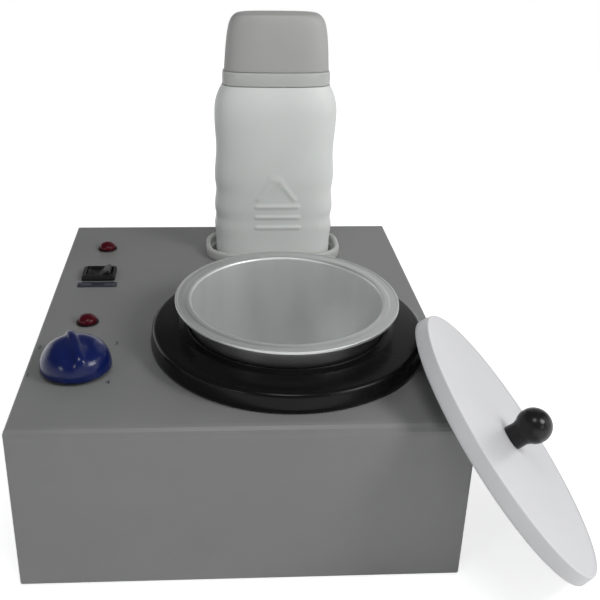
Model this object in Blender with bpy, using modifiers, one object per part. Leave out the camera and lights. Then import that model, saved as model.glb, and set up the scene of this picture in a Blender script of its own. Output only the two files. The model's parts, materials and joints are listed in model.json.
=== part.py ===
"""Wax heater: a box housing with a lift-out pot, a roll-on cartridge and a loose lid."""
import math

import bmesh
import bpy
from mathutils import Matrix, Vector

MM = 0.001

# Clearances
GAP = 0.3 * MM
RUN_GAP = 0.6 * MM
MERGE = 0.01 * MM
CUT_EXTRA = 2.0 * MM

# Housing, a pressed sheet shell that is open underneath
HOUSING_W = 210.0 * MM
HOUSING_D = 242.0 * MM
HOUSING_H = 85.3 * MM
SHEET = 1.2 * MM
BEND_R = 5.0 * MM
BEND_STEPS = 4
END_ROUND = 1.5 * MM
FOOT_H = 2.0 * MM
TOP = FOOT_H + HOUSING_H
SEAT = TOP + GAP
UNDER = TOP - SHEET - GAP

# Base pan and its vent slots
PAN_Z = 3.0 * MM
PAN_SHEET = 1.0 * MM
PAN_FLANGE = 15.0 * MM
PAN_ROUND = 2.0 * MM
VENT_COUNT = 5
VENT_LEN = 60.0 * MM
VENT_WIDTH = 4.0 * MM
VENT_PITCH = 12.0 * MM
VENT_Y_SHARES = (-0.29, 0.075)
VENT_Y = tuple(share * HOUSING_D for share in VENT_Y_SHARES)

# Feet and screws
FOOT_R = 7.0 * MM
FOOT_BORE_R = 3.4 * MM
FOOT_INSET = 17.0 * MM
FOOT_STEP = 1.6 * MM
FOOT_EDGE = 0.4 * MM
SCREW_R = 1.4 * MM
SCREW_HOLE_R = SCREW_R + GAP
SCREW_HEAD_R = 2.8 * MM
SCREW_HEAD_H = 1.2 * MM
SCREW_SLOT = 0.8 * MM
FOOT_SCREW_LEN = 7.0 * MM
SIDE_SCREW_LEN = 6.0 * MM
SIDE_SCREW_IN = 26.0 * MM
SIDE_SCREW_Y = 0.5 * HOUSING_D - SIDE_SCREW_IN
SIDE_SCREW_Z = 11.0 * MM

# Pot station: black seat ring, heating well and pot on one axis
# its size follows the housing's panel, and the rest of the station follows the pot
POT_SHARE = 0.2227
POT_R = POT_SHARE * math.sqrt(HOUSING_W * HOUSING_D)
POT_WALL = 1.2 * MM
POT_FLANGE_SHARE = 1.1594
POT_FLANGE_R = POT_FLANGE_SHARE * POT_R
POT_RIM_H = 1.8 * MM
POT_TOP = TOP + 24.4 * MM
POT_UNDER = 14.4 * MM
POT_DEPTH = HOUSING_H - POT_UNDER
POT_FLOOR_ROUND = 7.0 * MM
POT_MOUTH_ROUND = 3.0 * MM
POT_EDGE = 0.8 * MM
RING_SHARE = 1.4143
RING_R = RING_SHARE * POT_R
RING_H = 11.0 * MM
RING_WALL = 2.0 * MM
RING_ROUND = 2.6 * MM
RING_PLAY = 1.1 * MM
RING_BORE_R = POT_R + RING_PLAY
RING_BEAD = 1.8 * MM
RING_BEAD_W = 4.0 * MM
RING_SCREW_IN = 7.0 * MM
RING_SCREW_R_POS = RING_R - RING_SCREW_IN
POT_MARGIN_SHARE = 0.0438
POT_X = (0.5 - POT_MARGIN_SHARE) * HOUSING_W - RING_R
POT_MARGIN_Y = 11.0 * MM
POT_Y = -0.5 * HOUSING_D + RING_R + POT_MARGIN_Y
RING_SCREW_COUNT = 3
RING_BOSS_R = 3.4 * MM
RING_SCREW_LEN = 6.0 * MM
WELL_PLAY = 0.6 * MM
WELL_R = POT_R + WELL_PLAY
WELL_WALL = 1.5 * MM
WELL_SOFT = 1.2 * MM
WELL_FLANGE_IN = 0.5 * MM
WELL_FLANGE_R = POT_FLANGE_R - WELL_FLANGE_IN
WELL_FLANGE_T = 1.2 * MM
POT_HEATER_IN = 8.2 * MM
POT_HEATER_R = POT_R - POT_HEATER_IN
POT_HEATER_T = 5.0 * MM
COVER_OVER = 3.0 * MM
COVER_R = POT_HEATER_R + COVER_OVER
COVER_T = 3.0 * MM
TAB_W = 4.8 * MM
TAB_T = 0.8 * MM
TAB_LEN = 7.0 * MM

# Controls, in a column along the left edge of the panel
CONTROL_X_SHARE = -0.3876
CONTROL_X = CONTROL_X_SHARE * HOUSING_W
SWITCH_Y_SHARE = 0.1719
LAMP_Y_SHARES = (-0.0822, 0.3302)
KNOB_Y_SHARE = -0.2798

# Rocker switch
SWITCH_X = CONTROL_X
SWITCH_Y = SWITCH_Y_SHARE * HOUSING_D
BEZEL_W = 21.0 * MM
BEZEL_D = 16.6 * MM
BEZEL_H = 2.6 * MM
BEZEL_ROUND = 0.6 * MM
ROCKER_R = 7.4 * MM
ROCKER_D = 10.8 * MM
ROCKER_TILT = math.radians(11.0)
ROCKER_TOP_ANGLE = math.radians(30.0)
ROCKER_LOW_ANGLE = math.radians(-30.0)
ROCKER_VALLEY = 1.7 * MM
ROCKER_PIVOT_Z = TOP - 0.2 * MM
PIVOT_R = 1.0 * MM
PIVOT_REACH = 0.5 * MM
SWITCH_WALL = 0.9 * MM
SWITCH_CAVITY = 8.0 * MM
SWITCH_BODY_H = 12.0 * MM

# Signal lamps
LAMP_SHIFT = 0.5 * MM
LAMP_X = CONTROL_X + LAMP_SHIFT
LAMP_YS = tuple(share * HOUSING_D for share in LAMP_Y_SHARES)
LAMP_R = 6.3 * MM
LAMP_H = 1.8 * MM
LAMP_SLOPE = 0.6 * MM
LAMP_TUBE_R = 4.9 * MM
LAMP_BORE_R = 3.6 * MM
LAMP_LEN = 12.0 * MM
LENS_R = 4.4 * MM
LENS_DOME = 3.0 * MM
LENS_STEM = 8.0 * MM

# Thermostat and its knob
KNOB_SHIFT = 1.3 * MM
KNOB_X = CONTROL_X + KNOB_SHIFT
KNOB_Y = KNOB_Y_SHARE * HOUSING_D
KNOB_R = 17.5 * MM
KNOB_LIFT = 0.8 * MM
KNOB_SKIRT = 4.5 * MM
KNOB_DOME = 16.2 * MM
KNOB_WALL = 3.2 * MM
KNOB_UNDERCUT = 1.8 * MM
KNOB_HUB_R = 5.6 * MM
KNOB_ROOF = 9.0 * MM
BAR_LEN = 33.6 * MM
BAR_WIDTH = 8.0 * MM
BAR_TOP = 17.6 * MM
BAR_END = math.radians(22.0)
BAR_STEPS = 8
BAR_REST = math.radians(12.0)
SHAFT_R = 3.0 * MM
SHAFT_TOP = 12.2 * MM
SHAFT_TIP = 0.4 * MM
BUSH_R = 4.8 * MM
BUSH_H = 4.0 * MM
NUT_R = 7.6 * MM
NUT_H = 2.4 * MM
THERMO_W = 36.0 * MM
THERMO_D = 30.0 * MM
THERMO_H = 16.0 * MM
SHAFT_DEPTH = 7.0 * MM

# Cartridge well, heater plate and cartridge
CART_MARGIN_X = 79.7 * MM
CART_X = 0.5 * HOUSING_W - CART_MARGIN_X
CART_MARGIN_Y = 44.0 * MM
CART_Y = 0.5 * HOUSING_D - CART_MARGIN_Y
CART_W = 74.0 * MM
CART_D = 30.0 * MM
CART_WALL = 1.6 * MM
CART_UNDER = 25.3 * MM
CART_BELOW = HOUSING_H - CART_UNDER
NECK_IN_W = 9.5 * MM
NECK_W = CART_W - NECK_IN_W
NECK_IN_D = 6.0 * MM
NECK_D = CART_D - NECK_IN_D
SLEEVE_PLAY = 1.5 * MM
SLEEVE_WALL = 1.6 * MM
COLLAR_OUT_W = 12.0 * MM
COLLAR_W = CART_W + COLLAR_OUT_W
COLLAR_OUT_D = 16.0 * MM
COLLAR_D = CART_D + COLLAR_OUT_D
COLLAR_H = 6.0 * MM
COLLAR_LIP = 3.3 * MM
COLLAR_SOFT = 1.0 * MM
OVAL_POWER = 3.2
PLATE_W = 50.0 * MM
PLATE_T = 3.0 * MM
PLATE_SHORT = 16.0 * MM
PLATE_H = CART_BELOW - PLATE_SHORT
PLATE_DROP = 14.0 * MM
PLATE_Z = TOP - PLATE_DROP - 0.5 * PLATE_H
NECK_RISE = 108.3 * MM
# Height as a share of NECK_RISE, then the width as a share of CART_W
CART_PROFILE_SHARES = (
    (0.019, 0.974), (0.112, 0.978), (0.177, 0.997), (0.237, 0.976), (0.298, 0.997),
    (0.391, 0.974), (0.484, 0.997), (0.633, 0.973), (0.781, 0.997), (0.856, 1.0),
    (0.902, 0.985), (0.940, 0.955), (0.972, 0.915), (1.0, 0.8716),
)
SHOULDER_SHARE = 0.856
BOTTLE_CORNER = 3.0 * MM
NECK_Z = TOP + NECK_RISE
BAND_H = 8.5 * MM
PLUG_H = 5.0 * MM
PLUG_PLAY = 0.4 * MM
RIM_H = 3.0 * MM
ROLLER_R_SHARE = 0.25
ROLLER_R = ROLLER_R_SHARE * NECK_D
ROLLER_SHORT = 11.5 * MM
ROLLER_LEN = NECK_W - ROLLER_SHORT
ROLLER_SLACK_SHARE = 0.05
ROLLER_SLACK = ROLLER_SLACK_SHARE * NECK_D
ROLLER_EDGE = 0.8 * MM
ROLLER_Z = BAND_H - 0.5 * RIM_H
AXLE_R = 1.5 * MM
AXLE_HOLD = 2.5 * MM
CAP_IN_W = 2.1 * MM
CAP_W = NECK_W - CAP_IN_W
CAP_IN_D = 1.0 * MM
CAP_D = NECK_D - CAP_IN_D
CAP_H = 32.5 * MM
CAP_WALL = 1.3 * MM
CAP_SHARES = ((0.0, 1.0), (0.3, 0.975), (0.6, 0.942), (0.8, 0.905), (0.92, 0.845), (1.0, 0.735))

# Lid, leaning on the right edge of the housing
LID_OVER = 0.7 * MM
LID_R = RING_R + LID_OVER
LID_SKIRT = 7.4 * MM
LID_WALL = 1.5 * MM
LID_ROUND = 2.5 * MM
LID_LEAN = math.radians(39.8)
LID_TURN = math.radians(-7.0)
LID_STAND = 5.2 * MM
LID_CENTRE_Z = LID_SKIRT * math.sin(LID_LEAN) + LID_R * math.cos(LID_LEAN)
LID_CENTRE_X = 0.5 * HOUSING_W + (TOP - LID_CENTRE_Z) * math.tan(LID_LEAN) + LID_STAND
LID_FROM_FRONT = 28.5 * MM
LID_CENTRE_Y = -0.5 * HOUSING_D + LID_FROM_FRONT
BALL_R = 9.0 * MM
BALL_Z = 11.7 * MM
BALL_NECK_R = 5.2 * MM
BALL_FOOT_R = 6.6 * MM
BALL_WAIST_Z = 3.0 * MM
BALL_FOOT_H = 1.0 * MM
LID_SCREW_R = 1.7 * MM
LID_SCREW_DEPTH = 8.5 * MM

# Cord gland, and the terminal block inside
GLAND_MARGIN = 45.0 * MM
GLAND_X = -0.5 * HOUSING_W + GLAND_MARGIN
GLAND_Z = 28.0 * MM
GLAND_R = 6.0 * MM
GLAND_BORE_R = 3.6 * MM
GLAND_FLANGE_R = 9.0 * MM
GLAND_OUT = 10.0 * MM
GLAND_TIP = 1.2 * MM
GLAND_FLANGE_T = 2.5 * MM
GLAND_IN = 9.0 * MM
GLAND_NUT_R = 10.5 * MM
GLAND_NUT_H = 4.0 * MM
BLOCK_X = GLAND_X
BLOCK_MARGIN = 41.0 * MM
BLOCK_Y = 0.5 * HOUSING_D - BLOCK_MARGIN
BLOCK_W = 30.0 * MM
BLOCK_D = 18.0 * MM
BLOCK_H = 14.0 * MM
BLOCK_WAYS = 3
BLOCK_HOLE_R = 1.8 * MM

# Number of sides on the round pieces
SIDES_LARGE = 40
SIDES_MID = 20
SIDES_SMALL = 12
SIDES_SCREW = 8
OVAL_SIDES = 24
SHARP = math.radians(32.0)

PARTS_NAME = "wax_heater"
CUTTERS_NAME = "cutters"


def start_scene():
    """Empty the scene and make the two collections."""
    for old in list(bpy.data.objects):
        bpy.data.objects.remove(old, do_unlink=True)
    made = []
    for name in (PARTS_NAME, CUTTERS_NAME):
        group = bpy.data.collections.new(name)
        bpy.context.scene.collection.children.link(group)
        made.append(group)
    return made


def material(name, colour, metallic=0.0, roughness=0.5, alpha=1.0):
    """Make a Principled material."""
    made = bpy.data.materials.new(name)
    made.use_nodes = True
    shader = made.node_tree.nodes["Principled BSDF"]
    shader.inputs["Base Color"].default_value = (*colour, 1.0)
    shader.inputs["Metallic"].default_value = metallic
    shader.inputs["Roughness"].default_value = roughness
    shader.inputs["Alpha"].default_value = alpha
    made.diffuse_color = (*colour, alpha)
    return made


def link(name, mesh, look, group, place=None):
    """Put a mesh in a collection as a named object with its material."""
    made = bpy.data.objects.new(name, mesh)
    if look is not None:
        mesh.materials.append(look)
    if place is not None:
        made.matrix_world = place
    group.objects.link(made)
    return made


def smooth(mesh):
    """Shade a mesh smooth and keep its sharp edges."""
    mesh.shade_smooth()
    mesh.set_sharp_from_angle(angle=SHARP)


def settle(made):
    """Turn an object's modifiers into its mesh, then shade it smooth."""
    bpy.context.view_layer.update()
    graph = bpy.context.evaluated_depsgraph_get()
    mesh = bpy.data.meshes.new_from_object(made.evaluated_get(graph))
    mesh.name = made.name
    made.modifiers.clear()
    made.data = mesh
    smooth(mesh)


def from_bmesh(name, shape, look, group, place=None):
    """Turn a bmesh into an object."""
    bmesh.ops.recalc_face_normals(shape, faces=shape.faces)
    mesh = bpy.data.meshes.new(name)
    shape.to_mesh(mesh)
    shape.free()
    return link(name, mesh, look, group, place)


def at(x, y, z=0.0):
    """Matrix of a place that is not turned."""
    return Matrix.Translation((x, y, z))


def arc(centre_r, centre_z, radius, start, end, steps):
    """Points of an arc in the radius and height plane, angles in degrees."""
    points = []
    for i in range(steps + 1):
        angle = math.radians(start + (end - start) * i / steps)
        points.append((centre_r + radius * math.cos(angle), centre_z + radius * math.sin(angle)))
    return points


def turned(name, profile, sides, look, group, place=None, loop=False):
    """Spin a profile about Z with a Screw modifier. It runs down the outer side."""
    mesh = bpy.data.meshes.new(name)
    count = len(profile)
    edges = [(i, i + 1) for i in range(count - 1)]
    if loop:
        edges.append((count - 1, 0))
    mesh.from_pydata([(radius, 0.0, z) for radius, z in profile], edges, [])
    made = link(name, mesh, look, group, place)
    spin = made.modifiers.new("turn", "SCREW")
    spin.axis = "Z"
    spin.steps = sides
    spin.render_steps = sides
    spin.use_merge_vertices = True
    spin.merge_threshold = MERGE
    settle(made)
    return made


def solidify(made, wall):
    """Give an open surface a wall on its inner side."""
    step = made.modifiers.new("wall", "SOLIDIFY")
    step.thickness = wall
    step.offset = -1.0
    step.use_even_offset = True
    settle(made)


def add_box(shape, size, centre):
    """Add a box to a bmesh."""
    spot = Matrix.Translation(centre) @ Matrix.Diagonal((*size, 1.0))
    bmesh.ops.create_cube(shape, size=1.0, matrix=spot)


def add_rod(shape, radius, start, end, sides=SIDES_SCREW):
    """Add a cylinder between two points to a bmesh."""
    start, end = Vector(start), Vector(end)
    spin = (end - start).to_track_quat("Z", "Y").to_matrix().to_4x4()
    bmesh.ops.create_cone(shape, cap_ends=True, segments=sides, radius1=radius, radius2=radius,
                          depth=(end - start).length,
                          matrix=Matrix.Translation(0.5 * (start + end)) @ spin)


def flat_piece(name, outline, thickness, look, group, place=None):
    """Plate with a given outline: a filled 2D curve with an extrude, made a mesh."""
    curve = bpy.data.curves.new(name, "CURVE")
    curve.dimensions = "2D"
    curve.fill_mode = "BOTH"
    curve.extrude = 0.5 * thickness
    line = curve.splines.new("POLY")
    line.points.add(len(outline) - 1)
    for point, (x, y) in zip(line.points, outline):
        point.co = (x, y, 0.0, 1.0)
    line.use_cyclic_u = True
    drawn = bpy.data.objects.new(name, curve)
    group.objects.link(drawn)
    bpy.context.view_layer.update()
    graph = bpy.context.evaluated_depsgraph_get()
    mesh = bpy.data.meshes.new_from_object(drawn.evaluated_get(graph))
    bpy.data.objects.remove(drawn, do_unlink=True)
    shape = bmesh.new()
    shape.from_mesh(mesh)
    bmesh.ops.remove_doubles(shape, verts=shape.verts, dist=MERGE)
    bmesh.ops.dissolve_limit(shape, angle_limit=math.radians(0.5), verts=shape.verts,
                             edges=shape.edges)
    return from_bmesh(name, shape, look, group, place)


def oval(width, depth, z):
    """Points of a level superellipse, the plan of a bottle or its collar."""
    power = 2.0 / OVAL_POWER
    points = []
    for i in range(OVAL_SIDES):
        angle = 2.0 * math.pi * (i + 0.5) / OVAL_SIDES
        c, s = math.cos(angle), math.sin(angle)
        points.append((0.5 * width * math.copysign(abs(c) ** power, c),
                       0.5 * depth * math.copysign(abs(s) ** power, s), z))
    return points


def loft(name, sections, look, group, place=None, cap_first=True, cap_last=True):
    """Skin over level sections of the same number of points."""
    shape = bmesh.new()
    rows = [[shape.verts.new(point) for point in section] for section in sections]
    for low, high in zip(rows, rows[1:]):
        for i in range(len(low)):
            j = (i + 1) % len(low)
            shape.faces.new((low[i], low[j], high[j], high[i]))
    if cap_first:
        shape.faces.new(list(reversed(rows[0])))
    if cap_last:
        shape.faces.new(rows[-1])
    made = from_bmesh(name, shape, look, group, place)
    smooth(made.data)
    return made


def combine(target, tool, operation):
    """Cut a tool object out of a target, or join it on."""
    tool.hide_render = True
    tool.display_type = "WIRE"
    step = target.modifiers.new(tool.name, "BOOLEAN")
    step.object = tool
    step.operation = operation
    step.solver = "EXACT"


def cut(target, shape, cutters, word="cut", place=None):
    """Cut a bmesh out of an object."""
    combine(target, from_bmesh(f"{target.name}_{word}", shape, None, cutters, place), "DIFFERENCE")


def join(target, shape, cutters, word="join", place=None):
    """Join a bmesh onto an object."""
    combine(target, from_bmesh(f"{target.name}_{word}", shape, None, cutters, place), "UNION")


def open_box(name, low, high, open_side, rounds, look, group):
    """Box without its top or bottom, its edges rounded by Bevel and its wall by Solidify."""
    shape = bmesh.new()
    size = [b - a for a, b in zip(low, high)]
    add_box(shape, size, [0.5 * (a + b) for a, b in zip(low, high)])
    bmesh.ops.recalc_face_normals(shape, faces=shape.faces)
    gone = [face for face in shape.faces if face.normal.z * open_side > 0.5]
    bmesh.ops.delete(shape, geom=gone, context="FACES_ONLY")
    layer = shape.edges.layers.float.new("bevel_weight_edge")
    widest = max(rounds.values())
    for edge in shape.edges:
        along = (edge.verts[1].co - edge.verts[0].co).normalized()
        if not edge.is_boundary:
            axis = "XYZ"[max(range(3), key=lambda i: abs(along[i]))]
            edge[layer] = rounds[axis] / widest
    mesh = bpy.data.meshes.new(name)
    shape.to_mesh(mesh)
    shape.free()
    made = link(name, mesh, look, group)
    bend = made.modifiers.new("bend", "BEVEL")
    bend.limit_method = "WEIGHT"
    bend.width = widest
    bend.segments = BEND_STEPS
    return made


def side_screw_places():
    """Side, then the Y of each screw that holds the base pan."""
    return [(side, y) for side in (-1.0, 1.0) for y in (-SIDE_SCREW_Y, SIDE_SCREW_Y)]


def foot_places():
    """Centre of each foot."""
    reach_x = 0.5 * HOUSING_W - FOOT_INSET
    reach_y = 0.5 * HOUSING_D - FOOT_INSET
    return [(x, y) for x in (-reach_x, reach_x) for y in (-reach_y, reach_y)]


def ring_screw_places():
    """Centre of each screw under the black ring."""
    places = []
    for i in range(RING_SCREW_COUNT):
        angle = 2.0 * math.pi * (i + 0.25) / RING_SCREW_COUNT
        places.append((POT_X + RING_SCREW_R_POS * math.cos(angle),
                       POT_Y + RING_SCREW_R_POS * math.sin(angle)))
    return places


def switch_body_size():
    """Width and depth of the switch body below its bezel."""
    width = 2.0 * (ROCKER_R + GAP + SWITCH_WALL)
    depth = ROCKER_D + 2.0 * (GAP + SWITCH_WALL)
    return width, depth


def sleeve_size():
    """Outer width and depth of the cartridge sleeve."""
    spare = 2.0 * (SLEEVE_PLAY + SLEEVE_WALL)
    return CART_W + spare, CART_D + spare


def add_shell(parts, cutters):
    """Housing shell with the openings for all that it carries."""
    half_w, half_d = 0.5 * HOUSING_W, 0.5 * HOUSING_D
    shell = open_box("housing_shell", (-half_w, -half_d, FOOT_H), (half_w, half_d, TOP), -1.0,
                     {"X": BEND_R, "Y": END_ROUND, "Z": END_ROUND},
                     material("paint_grey", (0.16, 0.16, 0.155), 0.2, 0.4), parts)
    solidify(shell, SHEET)
    low, high = UNDER - CUT_EXTRA, TOP + CUT_EXTRA
    holes = bmesh.new()
    round_holes = [(POT_X, POT_Y, WELL_R + WELL_WALL + GAP, SIDES_LARGE),
                   (KNOB_X, KNOB_Y, BUSH_R + GAP, SIDES_MID)]
    round_holes += [(x, y, SCREW_HOLE_R, SIDES_SCREW) for x, y in ring_screw_places()]
    round_holes += [(LAMP_X, y, LAMP_TUBE_R + GAP, SIDES_MID) for y in LAMP_YS]
    for x, y, radius, sides in round_holes:
        add_rod(holes, radius, (x, y, low), (x, y, high), sides)
    width, depth = switch_body_size()
    add_box(holes, (width + 2.0 * GAP, depth + 2.0 * GAP, high - low),
            (SWITCH_X, SWITCH_Y, 0.5 * (low + high)))
    for side, y in side_screw_places():
        add_rod(holes, SCREW_HOLE_R, (side * (half_w - 2.0 * CUT_EXTRA), y, SIDE_SCREW_Z),
                (side * (half_w + CUT_EXTRA), y, SIDE_SCREW_Z))
    add_rod(holes, GLAND_R + GAP, (GLAND_X, half_d - 2.0 * CUT_EXTRA, GLAND_Z),
            (GLAND_X, half_d + CUT_EXTRA, GLAND_Z), SIDES_SMALL)
    cut(shell, holes, cutters, "holes")
    width, depth = sleeve_size()
    slot = loft("housing_shell_slot", [oval(width + 2.0 * GAP, depth + 2.0 * GAP, low),
                                       oval(width + 2.0 * GAP, depth + 2.0 * GAP, high)],
                None, cutters, at(CART_X, CART_Y))
    combine(shell, slot, "DIFFERENCE")


def add_pan(parts, cutters):
    """Base pan with a turned-up flange and vent slots."""
    half_w = 0.5 * HOUSING_W - SHEET - GAP
    half_d = 0.5 * HOUSING_D - SHEET - GAP
    pan = open_box("base_pan", (-half_w, -half_d, PAN_Z), (half_w, half_d, PAN_Z + PAN_FLANGE),
                   1.0, {"X": PAN_ROUND, "Y": PAN_ROUND, "Z": PAN_ROUND},
                   material("zinc", (0.55, 0.56, 0.57), 0.9, 0.4), parts)
    pan.modifiers["bend"].segments = 2
    solidify(pan, PAN_SHEET)
    low, high = PAN_Z - CUT_EXTRA, PAN_Z + PAN_SHEET + CUT_EXTRA
    holes = bmesh.new()
    for middle in VENT_Y:
        for i in range(VENT_COUNT):
            y = middle + VENT_PITCH * (i - 0.5 * (VENT_COUNT - 1))
            add_box(holes, (VENT_LEN, VENT_WIDTH, high - low), (0.0, y, 0.5 * (low + high)))
    for x, y in foot_places():
        add_rod(holes, SCREW_HOLE_R, (x, y, low), (x, y, high))
    for side, y in side_screw_places():
        add_rod(holes, SCREW_HOLE_R, (side * (half_w - 2.0 * CUT_EXTRA), y, SIDE_SCREW_Z),
                (side * (half_w + CUT_EXTRA), y, SIDE_SCREW_Z))
    cut(pan, holes, cutters)


def add_screw(name, look, parts, cutters, place, length, radius=SCREW_R, head_r=SCREW_HEAD_R,
              head_h=SCREW_HEAD_H):
    """Slotted screw that points up its own Z, the underside of its head at the place."""
    tip = 0.5 * radius
    profile = [(0.0, length), (tip, length), (radius, length - tip), (radius, 0.0), (head_r, 0.0),
               (head_r, -0.5 * head_h), (0.7 * head_r, -head_h), (0.0, -head_h)]
    made = turned(name, profile, SIDES_SCREW, look, parts, place)
    slot = bmesh.new()
    add_box(slot, (3.0 * head_r, SCREW_SLOT, head_h), (0.0, 0.0, -head_h))
    cut(made, slot, cutters, "slot", place)
    return made


def add_feet(parts, cutters):
    """Four rubber feet, and every plain screw of the housing."""
    rubber = material("foot_rubber", (0.03, 0.03, 0.03), 0.0, 0.8)
    steel = material("screw_steel", (0.6, 0.6, 0.6), 1.0, 0.35)
    high = PAN_Z - GAP
    profile = [(SCREW_HOLE_R, high), (FOOT_R, high), (FOOT_R, FOOT_EDGE),
               (FOOT_R - FOOT_EDGE, 0.0), (FOOT_BORE_R, 0.0), (FOOT_BORE_R, FOOT_STEP),
               (SCREW_HOLE_R, FOOT_STEP)]
    for number, (x, y) in enumerate(foot_places(), 1):
        turned(f"foot_{number}", profile, SIDES_SCREW, rubber, parts, at(x, y), loop=True)
        add_screw(f"foot_screw_{number}", steel, parts, cutters, at(x, y, FOOT_STEP - GAP),
                  FOOT_SCREW_LEN, head_h=0.8 * SCREW_HEAD_H)
    for number, (side, y) in enumerate(side_screw_places(), 1):
        spin = Matrix.Rotation(-side * math.pi / 2.0, 4, "Y")
        add_screw(f"side_screw_{number}", steel, parts, cutters,
                  at(side * (0.5 * HOUSING_W + GAP), y, SIDE_SCREW_Z) @ spin, SIDE_SCREW_LEN)
    for number, (x, y) in enumerate(ring_screw_places(), 1):
        add_screw(f"ring_screw_{number}", steel, parts, cutters, at(x, y, UNDER), RING_SCREW_LEN)


def add_ring(parts, cutters):
    """Black seat ring around the pot, hollow underneath, with bosses for its screws."""
    high = TOP + RING_H
    roof = high - RING_WALL
    inner_low = SEAT + WELL_FLANGE_T + GAP
    bead = high + RING_BEAD
    profile = [(RING_BORE_R, high), (RING_BORE_R + 0.5 * RING_BEAD, bead),
               (RING_BORE_R + RING_BEAD_W, bead), (RING_BORE_R + RING_BEAD_W + RING_BEAD, high)]
    profile += arc(RING_R - RING_ROUND, high - RING_ROUND, RING_ROUND, 90.0, 0.0, 2)
    profile += [(RING_R, SEAT), (RING_R - RING_WALL, SEAT),
                (RING_R - RING_WALL, roof - RING_WALL), (RING_R - 2.0 * RING_WALL, roof),
                (RING_BORE_R + RING_WALL, roof), (RING_BORE_R + RING_WALL, inner_low),
                (RING_BORE_R, inner_low)]
    ring = turned("seat_ring", profile, SIDES_LARGE,
                  material("black_gloss", (0.02, 0.02, 0.02), 0.0, 0.15), parts,
                  at(POT_X, POT_Y), loop=True)
    bosses, bores = bmesh.new(), bmesh.new()
    for x, y in ring_screw_places():
        add_rod(bosses, RING_BOSS_R, (x, y, SEAT), (x, y, high - 0.5 * RING_WALL))
        add_rod(bores, SCREW_HOLE_R, (x, y, SEAT - CUT_EXTRA),
                (x, y, UNDER + RING_SCREW_LEN + GAP))
    join(ring, bosses, cutters, "bosses")
    cut(ring, bores, cutters, "bores")


def add_well(parts, cutters):
    """Heating well under the ring, its heater disc and the cover below."""
    floor = POT_TOP - POT_DEPTH - GAP
    outer = WELL_R + WELL_WALL
    under = floor - WELL_WALL
    profile = [(0.0, floor), (WELL_R - WELL_SOFT, floor), (WELL_R, floor + WELL_SOFT),
               (WELL_R, SEAT + WELL_FLANGE_T), (WELL_FLANGE_R, SEAT + WELL_FLANGE_T),
               (WELL_FLANGE_R, SEAT), (outer, SEAT), (outer, under + WELL_SOFT),
               (outer - WELL_SOFT, under), (0.0, under)]
    turned("heating_well", profile, SIDES_LARGE,
           material("well_aluminium", (0.7, 0.7, 0.71), 1.0, 0.3), parts, at(POT_X, POT_Y))
    high = under - GAP
    low = high - POT_HEATER_T
    shape = bmesh.new()
    add_rod(shape, POT_HEATER_R, (0.0, 0.0, low), (0.0, 0.0, high), SIDES_MID)
    heater = from_bmesh("pot_heater", shape, material("heater_alloy", (0.6, 0.6, 0.6), 1.0, 0.5),
                        parts, at(POT_X, POT_Y))
    smooth(heater.data)
    tabs = bmesh.new()
    for side in (-1.0, 1.0):
        add_box(tabs, (TAB_W, 2.0 * TAB_LEN, TAB_T),
                (side * 2.0 * TAB_W, POT_HEATER_R, 0.5 * (low + high)))
    join(heater, tabs, cutters, "tabs", at(POT_X, POT_Y))
    shape = bmesh.new()
    add_rod(shape, COVER_R, (0.0, 0.0, low - GAP - COVER_T), (0.0, 0.0, low - GAP), SIDES_MID)
    cover = from_bmesh("heater_cover", shape, material("mica", (0.75, 0.72, 0.62), 0.0, 0.6),
                       parts, at(POT_X, POT_Y))
    smooth(cover.data)


def add_pot(parts):
    """Spun pot that lifts out of the well, with a wide flat rim turned down at its edge."""
    low = -POT_DEPTH
    edge_r = POT_FLANGE_R - POT_EDGE
    profile = [(POT_FLANGE_R, -POT_RIM_H)]
    profile += arc(edge_r, -POT_EDGE, POT_EDGE, 0.0, 90.0, 1)
    profile += arc(POT_R - POT_WALL + POT_MOUTH_ROUND, -POT_MOUTH_ROUND, POT_MOUTH_ROUND,
                   90.0, 180.0, 2)
    inner_round = POT_FLOOR_ROUND - POT_WALL
    profile += arc(POT_R - POT_FLOOR_ROUND, low + POT_FLOOR_ROUND, inner_round, 0.0, -90.0, 2)
    profile.append((0.0, low + POT_WALL))
    profile.reverse()
    pot = turned("pot", profile, SIDES_LARGE,
                 material("pot_aluminium", (0.8, 0.8, 0.81), 1.0, 0.2), parts,
                 at(POT_X, POT_Y, POT_TOP))
    solidify(pot, POT_WALL)


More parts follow.
